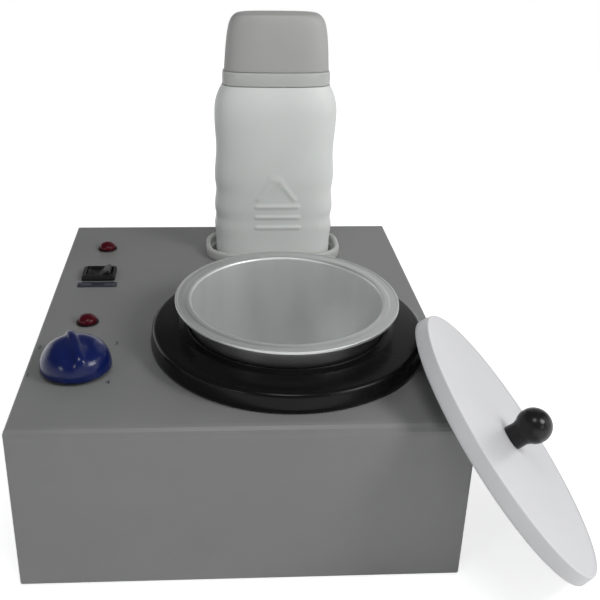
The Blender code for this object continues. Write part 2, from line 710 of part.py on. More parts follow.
def add_switch(parts, cutters):
    """Rocker switch frame with its bezel, cavity, pivot holes and terminals."""
    width, depth = switch_body_size()
    place = at(SWITCH_X, SWITCH_Y, TOP)
    shape = bmesh.new()
    add_box(shape, (BEZEL_W, BEZEL_D, BEZEL_H - GAP), (0.0, 0.0, 0.5 * (BEZEL_H + GAP)))
    frame = from_bmesh("switch_frame", shape,
                       material("switch_black", (0.02, 0.02, 0.02), 0.0, 0.4), parts, place)
    soft = frame.modifiers.new("soft", "BEVEL")
    soft.width = BEZEL_ROUND
    soft.segments = 2
    body, tabs = bmesh.new(), bmesh.new()
    add_box(body, (width, depth, SWITCH_BODY_H + MM), (0.0, 0.0, 0.5 * (MM - SWITCH_BODY_H)))
    join(frame, body, cutters, "body", place)
    for side in (-1.0, 1.0):
        add_box(tabs, (TAB_T, TAB_W, TAB_LEN + MM),
                (side * TAB_W, 0.0, -SWITCH_BODY_H - 0.5 * (TAB_LEN - MM)))
    join(frame, tabs, cutters, "tabs", place)
    cavity, pivots = bmesh.new(), bmesh.new()
    tall = SWITCH_CAVITY + BEZEL_H + CUT_EXTRA
    add_box(cavity, (2.0 * (ROCKER_R + GAP), ROCKER_D + 2.0 * GAP, tall),
            (0.0, 0.0, 0.5 * tall - SWITCH_CAVITY))
    cut(frame, cavity, cutters, "cavity", place)
    reach = 0.5 * ROCKER_D + 2.0 * GAP + PIVOT_REACH
    drop = ROCKER_PIVOT_Z - TOP
    add_rod(pivots, PIVOT_R + GAP, (0.0, -reach, drop), (0.0, reach, drop))
    cut(frame, pivots, cutters, "pivots", place)


def add_rocker(parts, cutters):
    """Rocker with a dished top on two pivot pins, tilted so that its right end is up."""
    steps = 4
    outline = []
    for i in range(steps + 1):
        angle = ROCKER_LOW_ANGLE + (ROCKER_TOP_ANGLE - ROCKER_LOW_ANGLE) * i / steps
        outline.append((ROCKER_R * math.cos(angle), ROCKER_R * math.sin(angle)))
    outline.append((0.0, ROCKER_VALLEY))
    outline += [(-x, z) for x, z in reversed(outline[:-1])]
    tilt = Matrix.Rotation(-ROCKER_TILT, 4, "Y")
    upright = Matrix.Rotation(math.pi / 2.0, 4, "X")
    place = at(SWITCH_X, SWITCH_Y, ROCKER_PIVOT_Z) @ tilt @ upright
    rocker = flat_piece("rocker", outline, ROCKER_D,
                        material("rocker_black", (0.03, 0.03, 0.03), 0.0, 0.3), parts, place)
    reach = 0.5 * ROCKER_D + GAP + PIVOT_REACH
    pins = bmesh.new()
    add_rod(pins, PIVOT_R, (0.0, 0.0, -reach), (0.0, 0.0, reach))
    join(rocker, pins, cutters, "pins", place)


def add_lamps(parts):
    """Two signal lamps, each a black bezel and a red domed lens on a stem."""
    black = material("lamp_black", (0.03, 0.03, 0.03), 0.0, 0.35)
    red = material("lamp_red", (0.45, 0.01, 0.03), 0.0, 0.2)
    seat = MM
    bezel = [(LENS_R + GAP, LAMP_H), (LAMP_R - LAMP_SLOPE, LAMP_H), (LAMP_R, LAMP_H - LAMP_SLOPE),
             (LAMP_R, GAP), (LAMP_TUBE_R, GAP), (LAMP_TUBE_R, -LAMP_LEN),
             (LAMP_BORE_R, -LAMP_LEN), (LAMP_BORE_R, seat), (LENS_R + GAP, seat)]
    stem = LAMP_BORE_R - GAP
    lens = [(0.0, LAMP_H + LENS_DOME)]
    for share in (0.8, 0.45, 0.0):
        angle = share * math.pi / 2.0
        lens.append((LENS_R * math.cos(angle), LAMP_H + LENS_DOME * math.sin(angle)))
    lens += [(LENS_R, seat + GAP), (stem, seat + GAP), (stem, seat - LENS_STEM),
             (0.0, seat - LENS_STEM)]
    for number, y in enumerate(LAMP_YS, 1):
        place = at(LAMP_X, y, TOP)
        turned(f"lamp_bezel_{number}", bezel, SIDES_SMALL, black, parts, place, loop=True)
        turned(f"lamp_lens_{number}", lens, SIDES_SMALL, red, parts, place)


def add_thermostat(parts, cutters):
    """Thermostat under the panel, with its bush, nut and shaft."""
    place = at(KNOB_X, KNOB_Y, TOP)
    high = UNDER - TOP
    floor = high - SHAFT_DEPTH
    shape = bmesh.new()
    add_box(shape, (THERMO_W, THERMO_D, THERMO_H), (0.0, 0.0, high - 0.5 * THERMO_H))
    body = from_bmesh("thermostat_body", shape,
                      material("bakelite", (0.08, 0.06, 0.05), 0.0, 0.5), parts, place)
    bush, bore = bmesh.new(), bmesh.new()
    add_rod(bush, BUSH_R, (0.0, 0.0, high - MM), (0.0, 0.0, BUSH_H), SIDES_SMALL)
    join(body, bush, cutters, "bush", place)
    add_rod(bore, SHAFT_R + GAP, (0.0, 0.0, floor), (0.0, 0.0, BUSH_H + CUT_EXTRA), SIDES_SMALL)
    cut(body, bore, cutters, "bore", place)
    hole = (BUSH_R + GAP) / math.cos(math.pi / 6.0)
    turned("thermostat_nut", [(hole, GAP + NUT_H), (NUT_R, GAP + NUT_H), (NUT_R, GAP), (hole, GAP)],
           6, material("nut_brass", (0.7, 0.6, 0.3), 1.0, 0.35), parts, place, loop=True)
    low = floor + GAP
    turned("knob_shaft", [(0.0, SHAFT_TOP), (SHAFT_R - SHAFT_TIP, SHAFT_TOP),
                          (SHAFT_R, SHAFT_TOP - SHAFT_TIP), (SHAFT_R, low), (0.0, low)],
           SIDES_SMALL, material("shaft_steel", (0.6, 0.6, 0.6), 1.0, 0.3), parts, place)


def add_knob(parts, cutters):
    """Domed blue knob, hollow around its hub, with a raised grip bar."""
    place = at(KNOB_X, KNOB_Y, TOP)
    hub = BUSH_H + RUN_GAP
    inner = KNOB_R - KNOB_WALL
    profile = [(0.0, KNOB_DOME)]
    for share in (0.8, 0.6, 0.4, 0.2, 0.0):
        angle = share * math.pi / 2.0
        profile.append((KNOB_R * math.cos(angle),
                        KNOB_SKIRT + (KNOB_DOME - KNOB_SKIRT) * math.sin(angle)))
    profile += [(KNOB_R - KNOB_UNDERCUT, KNOB_LIFT), (inner, KNOB_LIFT),
                (inner, KNOB_ROOF - KNOB_WALL),
                (inner - KNOB_WALL, KNOB_ROOF), (KNOB_HUB_R, KNOB_ROOF), (KNOB_HUB_R, hub),
                (0.0, hub)]
    knob = turned("knob", profile, SIDES_MID, material("knob_blue", (0.01, 0.02, 0.3), 0.0, 0.15),
                  parts, place)
    outline = []
    for i in range(BAR_STEPS + 1):
        angle = BAR_END + (math.pi - 2.0 * BAR_END) * i / BAR_STEPS
        outline.append((0.5 * BAR_LEN * math.cos(angle),
                        KNOB_SKIRT + (BAR_TOP - KNOB_SKIRT) * math.sin(angle)))
    outline += [(-KNOB_HUB_R, KNOB_ROOF + GAP), (KNOB_HUB_R, KNOB_ROOF + GAP)]
    upright = Matrix.Rotation(math.pi / 2.0, 4, "X")
    along = Matrix.Rotation(BAR_REST + math.pi / 2.0, 4, "Z")
    tool = flat_piece("knob_bar", outline, BAR_WIDTH, None, cutters, place @ along @ upright)
    combine(knob, tool, "UNION")
    hole = bmesh.new()
    add_rod(hole, SHAFT_R + GAP, (0.0, 0.0, hub - CUT_EXTRA), (0.0, 0.0, SHAFT_TOP + GAP),
            SIDES_SMALL)
    cut(knob, hole, cutters, "bore", place)


def add_sleeve(parts):
    """White collar and sleeve that hold the cartridge, and the heater plate beside it."""
    width, depth = sleeve_size()
    in_w, in_d = width - 2.0 * SLEEVE_WALL, depth - 2.0 * SLEEVE_WALL
    lip_w, lip_d = COLLAR_W - 2.0 * COLLAR_LIP, COLLAR_D - 2.0 * COLLAR_LIP
    high = COLLAR_H
    soft = COLLAR_SOFT
    sections = [oval(width, depth, -CART_BELOW - SLEEVE_WALL), oval(width, depth, GAP),
                oval(COLLAR_W, COLLAR_D, GAP), oval(COLLAR_W, COLLAR_D, high - 2.0 * soft),
                oval(COLLAR_W - 2.0 * soft, COLLAR_D - 2.0 * soft, high),
                oval(lip_w + 2.0 * soft, lip_d + 2.0 * soft, high),
                oval(lip_w, lip_d, high - soft), oval(lip_w, lip_d, soft),
                oval(in_w, in_d, 0.0), oval(in_w, in_d, -CART_BELOW)]
    loft("cartridge_sleeve", sections, material("white_plastic", (0.8, 0.8, 0.78), 0.0, 0.4),
         parts, at(CART_X, CART_Y, TOP))
    shape = bmesh.new()
    add_box(shape, (PLATE_W, PLATE_T, PLATE_H), (0.0, 0.0, 0.0))
    from_bmesh("cartridge_heater", shape, material("plate_alloy", (0.7, 0.7, 0.7), 1.0, 0.4),
               parts, at(CART_X, CART_Y - 0.5 * (depth + PLATE_T) - GAP, PLATE_Z))


def add_bottle(parts):
    """Cartridge bottle with pinched sides, a rounded shoulder and an open neck."""
    foot = GAP - CART_BELOW
    base_w, base_d = (CART_PROFILE_SHARES[0][1] * size for size in (CART_W, CART_D))
    sections = [oval(base_w - BOTTLE_CORNER, base_d - BOTTLE_CORNER, foot),
                oval(base_w, base_d, foot + BOTTLE_CORNER)]
    neck_share = NECK_W / CART_W
    for height, share in CART_PROFILE_SHARES:
        depth = CART_D * share
        if height > SHOULDER_SHARE:
            pinch = (1.0 - share) / (1.0 - neck_share)
            depth = CART_D + (NECK_D - CART_D) * pinch
        sections.append(oval(share * CART_W, depth, height * NECK_RISE))
    bottle = loft("cartridge_bottle", sections,
                  material("bottle_white", (0.75, 0.77, 0.77), 0.0, 0.4), parts,
                  at(CART_X, CART_Y, TOP), cap_last=False)
    solidify(bottle, CART_WALL)


def add_head(parts, cutters):
    """Roller head in the neck, with its slot and axle bore."""
    plug = 2.0 * (CART_WALL + PLUG_PLAY)
    rim = 2.0 * (CAP_WALL + GAP)
    place = at(CART_X, CART_Y, NECK_Z)
    sections = [oval(NECK_W - plug, NECK_D - plug, -PLUG_H), oval(NECK_W - plug, NECK_D - plug, GAP),
                oval(NECK_W, NECK_D, GAP), oval(NECK_W, NECK_D, BAND_H),
                oval(CAP_W - rim, CAP_D - rim, BAND_H),
                oval(CAP_W - rim, CAP_D - rim, BAND_H + RIM_H)]
    head = loft("roller_head", sections, material("head_white", (0.8, 0.8, 0.8), 0.0, 0.4), parts,
                place)
    slot_w = ROLLER_LEN + 2.0 * GAP
    slot = bmesh.new()
    add_box(slot, (slot_w, 2.0 * (ROLLER_R + ROLLER_SLACK), 3.0 * (BAND_H + PLUG_H)),
            (0.0, 0.0, 0.0))
    cut(head, slot, cutters, "slot", place)
    half = 0.5 * slot_w + AXLE_HOLD
    bore = bmesh.new()
    add_rod(bore, AXLE_R + GAP, (-half, 0.0, ROLLER_Z), (half, 0.0, ROLLER_Z))
    cut(head, bore, cutters, "bore", place)


def add_roller(parts):
    """Roller and its axle, across the cartridge."""
    place = at(CART_X, CART_Y, NECK_Z + ROLLER_Z) @ Matrix.Rotation(math.pi / 2.0, 4, "Y")
    half = 0.5 * ROLLER_LEN + GAP + AXLE_HOLD - GAP
    shape = bmesh.new()
    add_rod(shape, AXLE_R, (0.0, 0.0, -half), (0.0, 0.0, half))
    axle = from_bmesh("roller_axle", shape, material("axle_steel", (0.6, 0.6, 0.6), 1.0, 0.3),
                      parts, place)
    smooth(axle.data)
    half = 0.5 * ROLLER_LEN
    bore = AXLE_R + GAP
    profile = [(bore, half), (ROLLER_R - ROLLER_EDGE, half), (ROLLER_R, half - ROLLER_EDGE),
               (ROLLER_R, ROLLER_EDGE - half), (ROLLER_R - ROLLER_EDGE, -half), (bore, -half)]
    turned("roller", profile, SIDES_SMALL, material("roller_white", (0.8, 0.8, 0.8), 0.0, 0.3),
           parts, place, loop=True)


def add_cap(parts):
    """Translucent cap over the roller, open underneath."""
    sections = [oval(share * CAP_W, share * CAP_D, height * CAP_H)
                for height, share in CAP_SHARES]
    cap = loft("cartridge_cap", sections, material("cap_grey", (0.6, 0.63, 0.64), 0.0, 0.3, 0.6),
               parts, at(CART_X, CART_Y, NECK_Z + BAND_H + GAP), cap_first=False)
    solidify(cap, CAP_WALL)


def lid_place():
    """Matrix that leans the lid on the right edge of the housing, its rim on the table."""
    spin = Matrix.Rotation(LID_TURN, 4, "Z") @ Matrix.Rotation(math.pi / 2.0 - LID_LEAN, 4, "Y")
    return at(LID_CENTRE_X, LID_CENTRE_Y, LID_CENTRE_Z) @ spin


def add_lid(parts, cutters):
    """Shallow lid with a ball knob held by a screw."""
    place = lid_place()
    hole = LID_SCREW_R + GAP
    profile = [(hole, 0.0)] + arc(LID_R - LID_ROUND, -LID_ROUND, LID_ROUND, 90.0, 0.0, 2)
    profile.append((LID_R, -LID_SKIRT))
    lid = turned("lid", profile, SIDES_LARGE, material("lid_white", (0.8, 0.8, 0.8), 0.0, 0.35),
                 parts, place)
    solidify(lid, LID_WALL)
    start = math.degrees(math.acos(BALL_NECK_R / BALL_R))
    profile = [(0.0, BALL_Z + BALL_R)] + arc(0.0, BALL_Z, BALL_R, 75.0, -start, 6)
    profile += [(BALL_NECK_R, BALL_WAIST_Z), (BALL_FOOT_R, GAP + BALL_FOOT_H), (BALL_FOOT_R, GAP),
                (hole, GAP), (hole, LID_SCREW_DEPTH + GAP), (0.0, LID_SCREW_DEPTH + GAP)]
    turned("lid_knob", profile, SIDES_MID, material("knob_black", (0.02, 0.02, 0.02), 0.0, 0.25),
           parts, place)
    add_screw("lid_screw", material("lid_screw_steel", (0.6, 0.6, 0.6), 1.0, 0.3), parts, cutters,
              place @ at(0.0, 0.0, -LID_WALL - GAP), LID_SCREW_DEPTH + LID_WALL + GAP,
              radius=LID_SCREW_R, head_r=2.0 * LID_SCREW_R)


def add_inlet(parts, cutters):
    """Cord gland in the rear wall, its nut, and the terminal block on the pan."""
    back = at(GLAND_X, 0.5 * HOUSING_D, GLAND_Z) @ Matrix.Rotation(-math.pi / 2.0, 4, "X")
    profile = [(GLAND_BORE_R, GLAND_OUT), (GLAND_BORE_R + GLAND_TIP, GLAND_OUT),
               (GLAND_R, GLAND_FLANGE_T + MM), (GLAND_FLANGE_R, GLAND_FLANGE_T),
               (GLAND_FLANGE_R, GAP), (GLAND_R, GAP), (GLAND_R, -GLAND_IN),
               (GLAND_BORE_R, -GLAND_IN)]
    turned("cord_gland", profile, SIDES_SMALL,
           material("gland_black", (0.03, 0.03, 0.03), 0.0, 0.6), parts, back, loop=True)
    hole = (GLAND_R + GAP) / math.cos(math.pi / 6.0)
    face = -SHEET - GAP
    turned("gland_nut", [(hole, face), (GLAND_NUT_R, face), (GLAND_NUT_R, face - GLAND_NUT_H),
                         (hole, face - GLAND_NUT_H)], 6,
           material("gland_nut_black", (0.04, 0.04, 0.04), 0.0, 0.5), parts, back, loop=True)
    place = at(BLOCK_X, BLOCK_Y, PAN_Z + PAN_SHEET + GAP)
    shape, ways = bmesh.new(), bmesh.new()
    add_box(shape, (BLOCK_W, BLOCK_D, BLOCK_H), (0.0, 0.0, 0.5 * BLOCK_H))
    made = from_bmesh("terminal_block", shape,
                      material("terminal_white", (0.8, 0.79, 0.74), 0.0, 0.5), parts, place)
    for i in range(BLOCK_WAYS):
        x = BLOCK_W * ((i + 0.5) / BLOCK_WAYS - 0.5)
        add_rod(ways, BLOCK_HOLE_R, (x, -BLOCK_D, 0.4 * BLOCK_H), (x, BLOCK_D, 0.4 * BLOCK_H))
    cut(made, ways, cutters, "ways", place)


def centre_on_table(parts, cutters):
    """Shift everything so that the whole object stands centred on the origin."""
    bpy.context.view_layer.update()
    corners = [made.matrix_world @ vertex.co for made in parts.objects
               for vertex in made.data.vertices]
    shift = Vector((0.0, 0.0, 0.0))
    for axis in (0, 1):
        values = [corner[axis] for corner in corners]
        shift[axis] = -0.5 * (min(values) + max(values))
    for group in (parts, cutters):
        for made in group.objects:
            made.location += shift
    bpy.context.view_layer.update()


def main():
    """Build the whole object."""
    parts, cutters = start_scene()
    add_shell(parts, cutters)
    add_pan(parts, cutters)
    add_feet(parts, cutters)
    add_ring(parts, cutters)
    add_well(parts, cutters)
    add_pot(parts)
    add_switch(parts, cutters)
    add_rocker(parts, cutters)
    add_lamps(parts)
    add_thermostat(parts, cutters)
    add_knob(parts, cutters)
    add_sleeve(parts)
    add_bottle(parts)
    add_head(parts, cutters)
    add_roller(parts)
    add_cap(parts)
    add_lid(parts, cutters)
    add_inlet(parts, cutters)
    centre_on_table(parts, cutters)


main()
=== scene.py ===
import json
import math

import bmesh
import bpy
from mathutils import Matrix, Vector

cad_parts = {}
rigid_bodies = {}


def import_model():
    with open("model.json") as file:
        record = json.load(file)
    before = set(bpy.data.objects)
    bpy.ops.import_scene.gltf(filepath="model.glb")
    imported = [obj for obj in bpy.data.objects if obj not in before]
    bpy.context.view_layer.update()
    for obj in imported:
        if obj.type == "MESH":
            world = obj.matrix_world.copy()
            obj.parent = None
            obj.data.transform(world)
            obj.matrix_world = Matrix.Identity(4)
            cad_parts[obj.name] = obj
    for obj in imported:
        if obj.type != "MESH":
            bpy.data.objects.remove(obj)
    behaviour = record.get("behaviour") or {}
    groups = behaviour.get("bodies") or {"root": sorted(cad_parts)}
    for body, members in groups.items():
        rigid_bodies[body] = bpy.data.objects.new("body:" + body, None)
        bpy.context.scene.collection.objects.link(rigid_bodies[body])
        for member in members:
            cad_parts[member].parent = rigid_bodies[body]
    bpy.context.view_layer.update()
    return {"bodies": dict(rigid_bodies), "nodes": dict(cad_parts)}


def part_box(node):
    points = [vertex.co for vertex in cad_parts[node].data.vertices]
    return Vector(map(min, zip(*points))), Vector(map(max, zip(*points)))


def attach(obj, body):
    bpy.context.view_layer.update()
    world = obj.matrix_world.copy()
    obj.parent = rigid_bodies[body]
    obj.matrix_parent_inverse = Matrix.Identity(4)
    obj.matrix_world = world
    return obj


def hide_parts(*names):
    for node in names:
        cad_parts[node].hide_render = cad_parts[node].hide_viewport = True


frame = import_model()
nodes = frame["nodes"]
scene = bpy.context.scene
MM = 0.001   # metres in a millimetre
GAP = 0.3    # gap between fixed pieces, in millimetres


def mid(node):
    """Centre of a CAD node's box."""
    low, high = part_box(node)
    return 0.5 * (low + high)


def carrier(node):
    """Name of the body that a CAD node rides on."""
    return next(name for name, empty in frame["bodies"].items() if empty == nodes[node].parent)


shell_low, shell_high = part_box("housing_shell")
centre = Vector((0.5 * (shell_low.x + shell_high.x), 0.5 * (shell_low.y + shell_high.y), 0.0))
TOP = shell_high.z


def above(place):
    """Height of a place above the housing's panel, from metres to millimetres."""
    return 1000.0 * (place.z - TOP)


def half_width(low, high):
    """Half the width of a box, from metres to millimetres."""
    return 500.0 * (high.x - low.x)


# Materials
def new_material(name):
    made = bpy.data.materials.new(name)
    made.use_nodes = True
    return made, made.node_tree, made.node_tree.nodes["Principled BSDF"]


def place_node(tree, stretch=(1.0, 1.0, 1.0)):
    """Object coordinates, stretched."""
    coords = tree.nodes.new("ShaderNodeTexCoord")
    mapping = tree.nodes.new("ShaderNodeMapping")
    mapping.inputs["Scale"].default_value = stretch
    tree.links.new(coords.outputs["Object"], mapping.inputs["Vector"])
    return mapping.outputs["Vector"]


def noise_node(tree, vector, scale, detail=3.0, rough=0.5):
    made = tree.nodes.new("ShaderNodeTexNoise")
    made.inputs["Scale"].default_value = scale
    made.inputs["Detail"].default_value = detail
    made.inputs["Roughness"].default_value = rough
    tree.links.new(vector, made.inputs["Vector"])
    return made.outputs["Fac"]


def ramp_node(tree, value, low, high):
    """Colour ramp between two stops, each (place, colour)."""
    made = tree.nodes.new("ShaderNodeValToRGB")
    for point, (place, colour) in zip(made.color_ramp.elements, (low, high)):
        point.position = place
        point.color = (*colour, 1.0)
    tree.links.new(value, made.inputs["Fac"])
    return made.outputs["Color"]


def range_node(tree, value, low, high, from_low=0.3, from_high=0.7):
    made = tree.nodes.new("ShaderNodeMapRange")
    made.inputs["From Min"].default_value = from_low
    made.inputs["From Max"].default_value = from_high
    made.inputs["To Min"].default_value = low
    made.inputs["To Max"].default_value = high
    tree.links.new(value, made.inputs["Value"])
    return made.outputs["Result"]


def bump_node(tree, height, distance):
    made = tree.nodes.new("ShaderNodeBump")
    made.inputs["Strength"].default_value = 1.0
    made.inputs["Distance"].default_value = distance
    tree.links.new(height, made.inputs["Height"])
    return made.outputs["Normal"]


def surface(name, colour, rough, metal=0.0, mottle=0.08, mottle_scale=30.0, grain=0.02 * MM,
            grain_scale=900.0, spread=0.06, stretch=(1.0, 1.0, 1.0), **sockets):
    """A surface whose colour, roughness and height all vary a little, as a real finish does."""
    made, tree, shader = new_material(name)
    vector = place_node(tree, stretch)
    wide = noise_node(tree, vector, mottle_scale, 4.0, 0.6)
    fine = noise_node(tree, vector, grain_scale, 2.0, 0.5)
    dark = tuple(c * (1.0 - mottle) for c in colour)
    light = tuple(min(1.0, c * (1.0 + mottle)) for c in colour)
    tree.links.new(ramp_node(tree, wide, (0.32, dark), (0.68, light)), shader.inputs["Base Color"])
    tree.links.new(range_node(tree, wide, max(0.02, rough - spread), min(1.0, rough + spread)),
                   shader.inputs["Roughness"])
    tree.links.new(bump_node(tree, fine, grain), shader.inputs["Normal"])
    shader.inputs["Metallic"].default_value = metal
    for key, value in sockets.items():
        shader.inputs[key.replace("_", " ")].default_value = value
    return made


GREY = surface("paint grey", (0.25, 0.253, 0.248), 0.4, mottle=0.05, mottle_scale=14.0,
               grain=0.03 * MM, grain_scale=1400.0, Specular_IOR_Level=0.4)
BLACK = surface("black gloss", (0.007, 0.007, 0.0075), 0.26, grain=0.004 * MM, grain_scale=500.0,
                Specular_IOR_Level=0.14)
# Pot inside: satin metal with a diffuse share, its colour painted brighter than the flange's for
# the light that falls inside the pot
INSIDE_PAINTED_BRIGHT = surface("pot inside painted bright", (0.78, 0.795, 0.79), 0.42, metal=0.75, mottle=0.03,
                 mottle_scale=45.0, grain=0.006 * MM, grain_scale=1600.0, stretch=(1.0, 1.0, 0.08))
SATIN = surface("pot satin", (0.66, 0.67, 0.665), 0.42, metal=0.8, mottle=0.04, mottle_scale=45.0,
                grain=0.006 * MM, grain_scale=1600.0, stretch=(1.0, 1.0, 0.08))
# Pot outside: polished metal, its colour painted dark for the dark surroundings that it mirrors
POLISH_PAINTED_DARK = surface("pot polished painted dark", (0.40, 0.40, 0.395), 0.36, metal=1.0, mottle=0.05, spread=0.04,
                 grain=0.002 * MM, stretch=(0.2, 0.2, 1.0))
WHITE = surface("white plastic", (0.54, 0.55, 0.53), 0.42, mottle=0.03)
BOTTLE = surface("bottle white", (0.78, 0.805, 0.785), 0.45, mottle=0.03, mottle_scale=18.0,
                 grain=0.012 * MM, Subsurface_Weight=0.08, Subsurface_Scale=0.004)
CAP = surface("cap grey", (0.44, 0.443, 0.43), 0.5, mottle=0.04, mottle_scale=20.0)
LID = surface("lid white", (0.67, 0.67, 0.685), 0.42, mottle=0.02, mottle_scale=12.0,
              grain=0.012 * MM)
BALL = surface("ball black", (0.012, 0.012, 0.013), 0.2, grain=0.002 * MM, Specular_IOR_Level=0.28)
BLUE = surface("knob blue", (0.006, 0.014, 0.10), 0.21, grain=0.001 * MM, spread=0.02,
               Specular_IOR_Level=0.3)
RED = surface("lamp red", (0.07, 0.002, 0.008), 0.28, grain=0.004 * MM, Specular_IOR_Level=0.2)
DARK = surface("black plastic", (0.010, 0.010, 0.0105), 0.4, Specular_IOR_Level=0.25)
STEEL = surface("screw steel", (0.55, 0.55, 0.54), 0.3, metal=1.0)
ZINC = surface("zinc sheet", (0.5, 0.51, 0.52), 0.4, metal=1.0, mottle=0.15, mottle_scale=60.0)
RUBBER = surface("rubber", (0.02, 0.02, 0.02), 0.75, mottle=0.2)
BRASS = surface("brass", (0.62, 0.48, 0.2), 0.3, metal=1.0)
MICA = surface("mica", (0.5, 0.42, 0.28), 0.6, mottle=0.25)
BAKELITE = surface("bakelite", (0.05, 0.03, 0.022), 0.45, mottle=0.2)
CERAMIC = surface("terminal white", (0.7, 0.68, 0.6), 0.5, mottle=0.05)
INK = surface("print dark", (0.02, 0.02, 0.035), 0.5, mottle=0.15, mottle_scale=200.0)
FILM = surface("label film", (0.035, 0.034, 0.055), 0.4, mottle=0.1, mottle_scale=120.0)
PRINT = surface("print light", (0.22, 0.22, 0.25), 0.5, mottle=0.1, mottle_scale=200.0)

# Look of each CAD node, by its name without a number
LOOKS = {
    "housing_shell": GREY, "base_pan": ZINC, "seat_ring": BLACK, "heating_well": SATIN,
    "pot_heater": SATIN, "heater_cover": MICA, "pot": SATIN, "switch_frame": DARK, "rocker": DARK,
    "lamp_bezel": DARK, "lamp_lens": RED, "thermostat_body": BAKELITE, "thermostat_nut": BRASS,
    "knob": BLUE, "knob_shaft": STEEL, "cartridge_sleeve": WHITE, "cartridge_heater": SATIN,
    "cartridge_bottle": BOTTLE, "roller_head": WHITE, "roller_axle": STEEL, "roller": WHITE,
    "cartridge_cap": CAP, "lid": LID, "lid_knob": BALL, "lid_screw": STEEL, "cord_gland": RUBBER,
    "gland_nut": DARK, "terminal_block": CERAMIC, "foot": RUBBER, "foot_screw": STEEL,
    "side_screw": STEEL, "ring_screw": STEEL,
}
for name, made in nodes.items():
    family = name.rstrip("0123456789").rstrip("_") if name[-1].isdigit() else name
    made.data.materials.clear()
    made.data.materials.append(LOOKS[family])


# Shapes, all in millimetres in the piece's own frame
def at(x, y, z):
    """Matrix that moves to a place in metres and takes the piece's millimetres to metres."""
    return Matrix.Translation((x, y, z)) @ Matrix.Scale(MM, 4)


def piece(name, shape, looks, body, replaced=(), sharp=30.0, place=None):
    """Object from a bmesh: smooth, with its sharp edges kept, riding on a body."""
    bmesh.ops.recalc_face_normals(shape, faces=shape.faces)
    if place is not None:
        bmesh.ops.transform(shape, matrix=place, verts=shape.verts)
    mesh = bpy.data.meshes.new(name)
    shape.to_mesh(mesh)
    shape.free()
    for look in looks:
        mesh.materials.append(look)
    mesh.shade_smooth()
    mesh.set_sharp_from_angle(angle=math.radians(sharp))
    made = bpy.data.objects.new(name, mesh)
    scene.collection.objects.link(made)
    if replaced:
        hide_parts(*replaced)
    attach(made, body)


def rounded(points, closed=False, steps=6):
    """A line of (x, y) points. One given as (x, y, radius) is turned to an arc."""
    made = []
    count = len(points)
    for i, point in enumerate(points):
        here = Vector(point[:2])
        ends = not closed and i in (0, count - 1)
        if len(point) < 3 or ends:
            made.append(here)
            continue
        back = Vector(points[i - 1][:2]) - here
        on = Vector(points[(i + 1) % count][:2]) - here
        if back.angle(on) > math.pi - 0.01:
            made.append(here)
            continue
        half = 0.5 * back.angle(on)
        cut = min(point[2] / math.tan(half), 0.48 * back.length, 0.48 * on.length)
        radius = cut * math.tan(half)
        bend = here + (back.normalized() + on.normalized()).normalized() * (radius / math.sin(half))
        start = here + back.normalized() * cut - bend
        end = here + on.normalized() * cut - bend
        turn = start.angle(end)
        for k in range(steps + 1):
            share = k / steps
            made.append(bend + (math.sin((1.0 - share) * turn) * start
                                + math.sin(share * turn) * end) / math.sin(turn))
    return made


def circle(radius, sides):
    """Places (x, y) round the axis."""
    return [(radius * math.cos(2.0 * math.pi * i / sides),
             radius * math.sin(2.0 * math.pi * i / sides)) for i in range(sides)]


def lathe(profile, sides, pick=None):
    """Bmesh of a (radius, height) line turned round Z, closed unless it ends on the axis.

    Points on the axis become one vertex. pick gives the look of a band from its middle.
    """
    shape = bmesh.new()
    rings = []
    for radius, height in profile:
        places = [(0.0, 0.0)] if radius < 1e-6 else circle(radius, sides)
        rings.append([shape.verts.new((x, y, height)) for x, y in places])
    pairs = [(i, i + 1) for i in range(len(rings) - 1)]
    if len(rings[0]) > 1 and len(rings[-1]) > 1:
        pairs.append((len(rings) - 1, 0))
    for a, b in pairs:
        low, high = rings[a], rings[b]
        if len(low) == 1 and len(high) == 1:
            continue
        look = 0
        if pick:
            spot = 0.5 * (profile[a] + profile[b])
            look = pick(spot.x, spot.y)
        for i in range(sides):
            j = (i + 1) % sides
            if len(low) == 1:
                corners = (low[0], high[j], high[i])
            elif len(high) == 1:
                corners = (low[i], low[j], high[0])
            else:
                corners = (low[i], low[j], high[j], high[i])
            shape.faces.new(corners).material_index = look
    return shape


def oval(width, depth, height, power=3.2, count=144):
    """Points of a rounded rectangle, the squarer the higher the power."""
    points = []
    for i in range(count):
        angle = 2.0 * math.pi * (i + 0.5) / count
        c, s = math.cos(angle), math.sin(angle)
        points.append(Vector((0.5 * width * math.copysign(abs(c) ** (2.0 / power), c),
                              0.5 * depth * math.copysign(abs(s) ** (2.0 / power), s), height)))
    return points


def block(width, depth, height, count=96):
    """Points of a rectangle with small round corners."""
    return oval(width, depth, height, 14.0, count)


def loft(sections, closed=False):
    """Bmesh through rings of equally many points, capped at both ends or closed on itself."""
    shape = bmesh.new()
    rings = [[shape.verts.new(point) for point in section] for section in sections]
    pairs = list(zip(rings, rings[1:]))
    if closed:
        pairs.append((rings[-1], rings[0]))
    else:
        shape.faces.new(rings[0])
        shape.faces.new(rings[-1])
    for low, high in pairs:
        for i in range(len(low)):
            j = (i + 1) % len(low)
            shape.faces.new((low[i], low[j], high[j], high[i]))
    return shape


def smooth_line(points, steps):
    """Curve through (position, value, ...) points, finer by the number of steps."""
    made = []
    for i in range(len(points) - 1):
        p0 = points[max(i - 1, 0)]
        p1, p2 = points[i], points[i + 1]
        p3 = points[min(i + 2, len(points) - 1)]
        for k in range(steps):
            t = k / steps
            made.append(tuple(0.5 * (2.0 * b + (c - a) * t
                                     + (2.0 * a - 5.0 * b + 4.0 * c - d) * t * t
                                     + (3.0 * b - a - 3.0 * c + d) * t ** 3)
                              for a, b, c, d in zip(p0, p1, p2, p3)))
    made.append(points[-1])
    return made


def ease(share):
    """Soft step from 0 to 1."""
    share = min(1.0, max(0.0, share))
    return share * share * (3.0 - 2.0 * share)


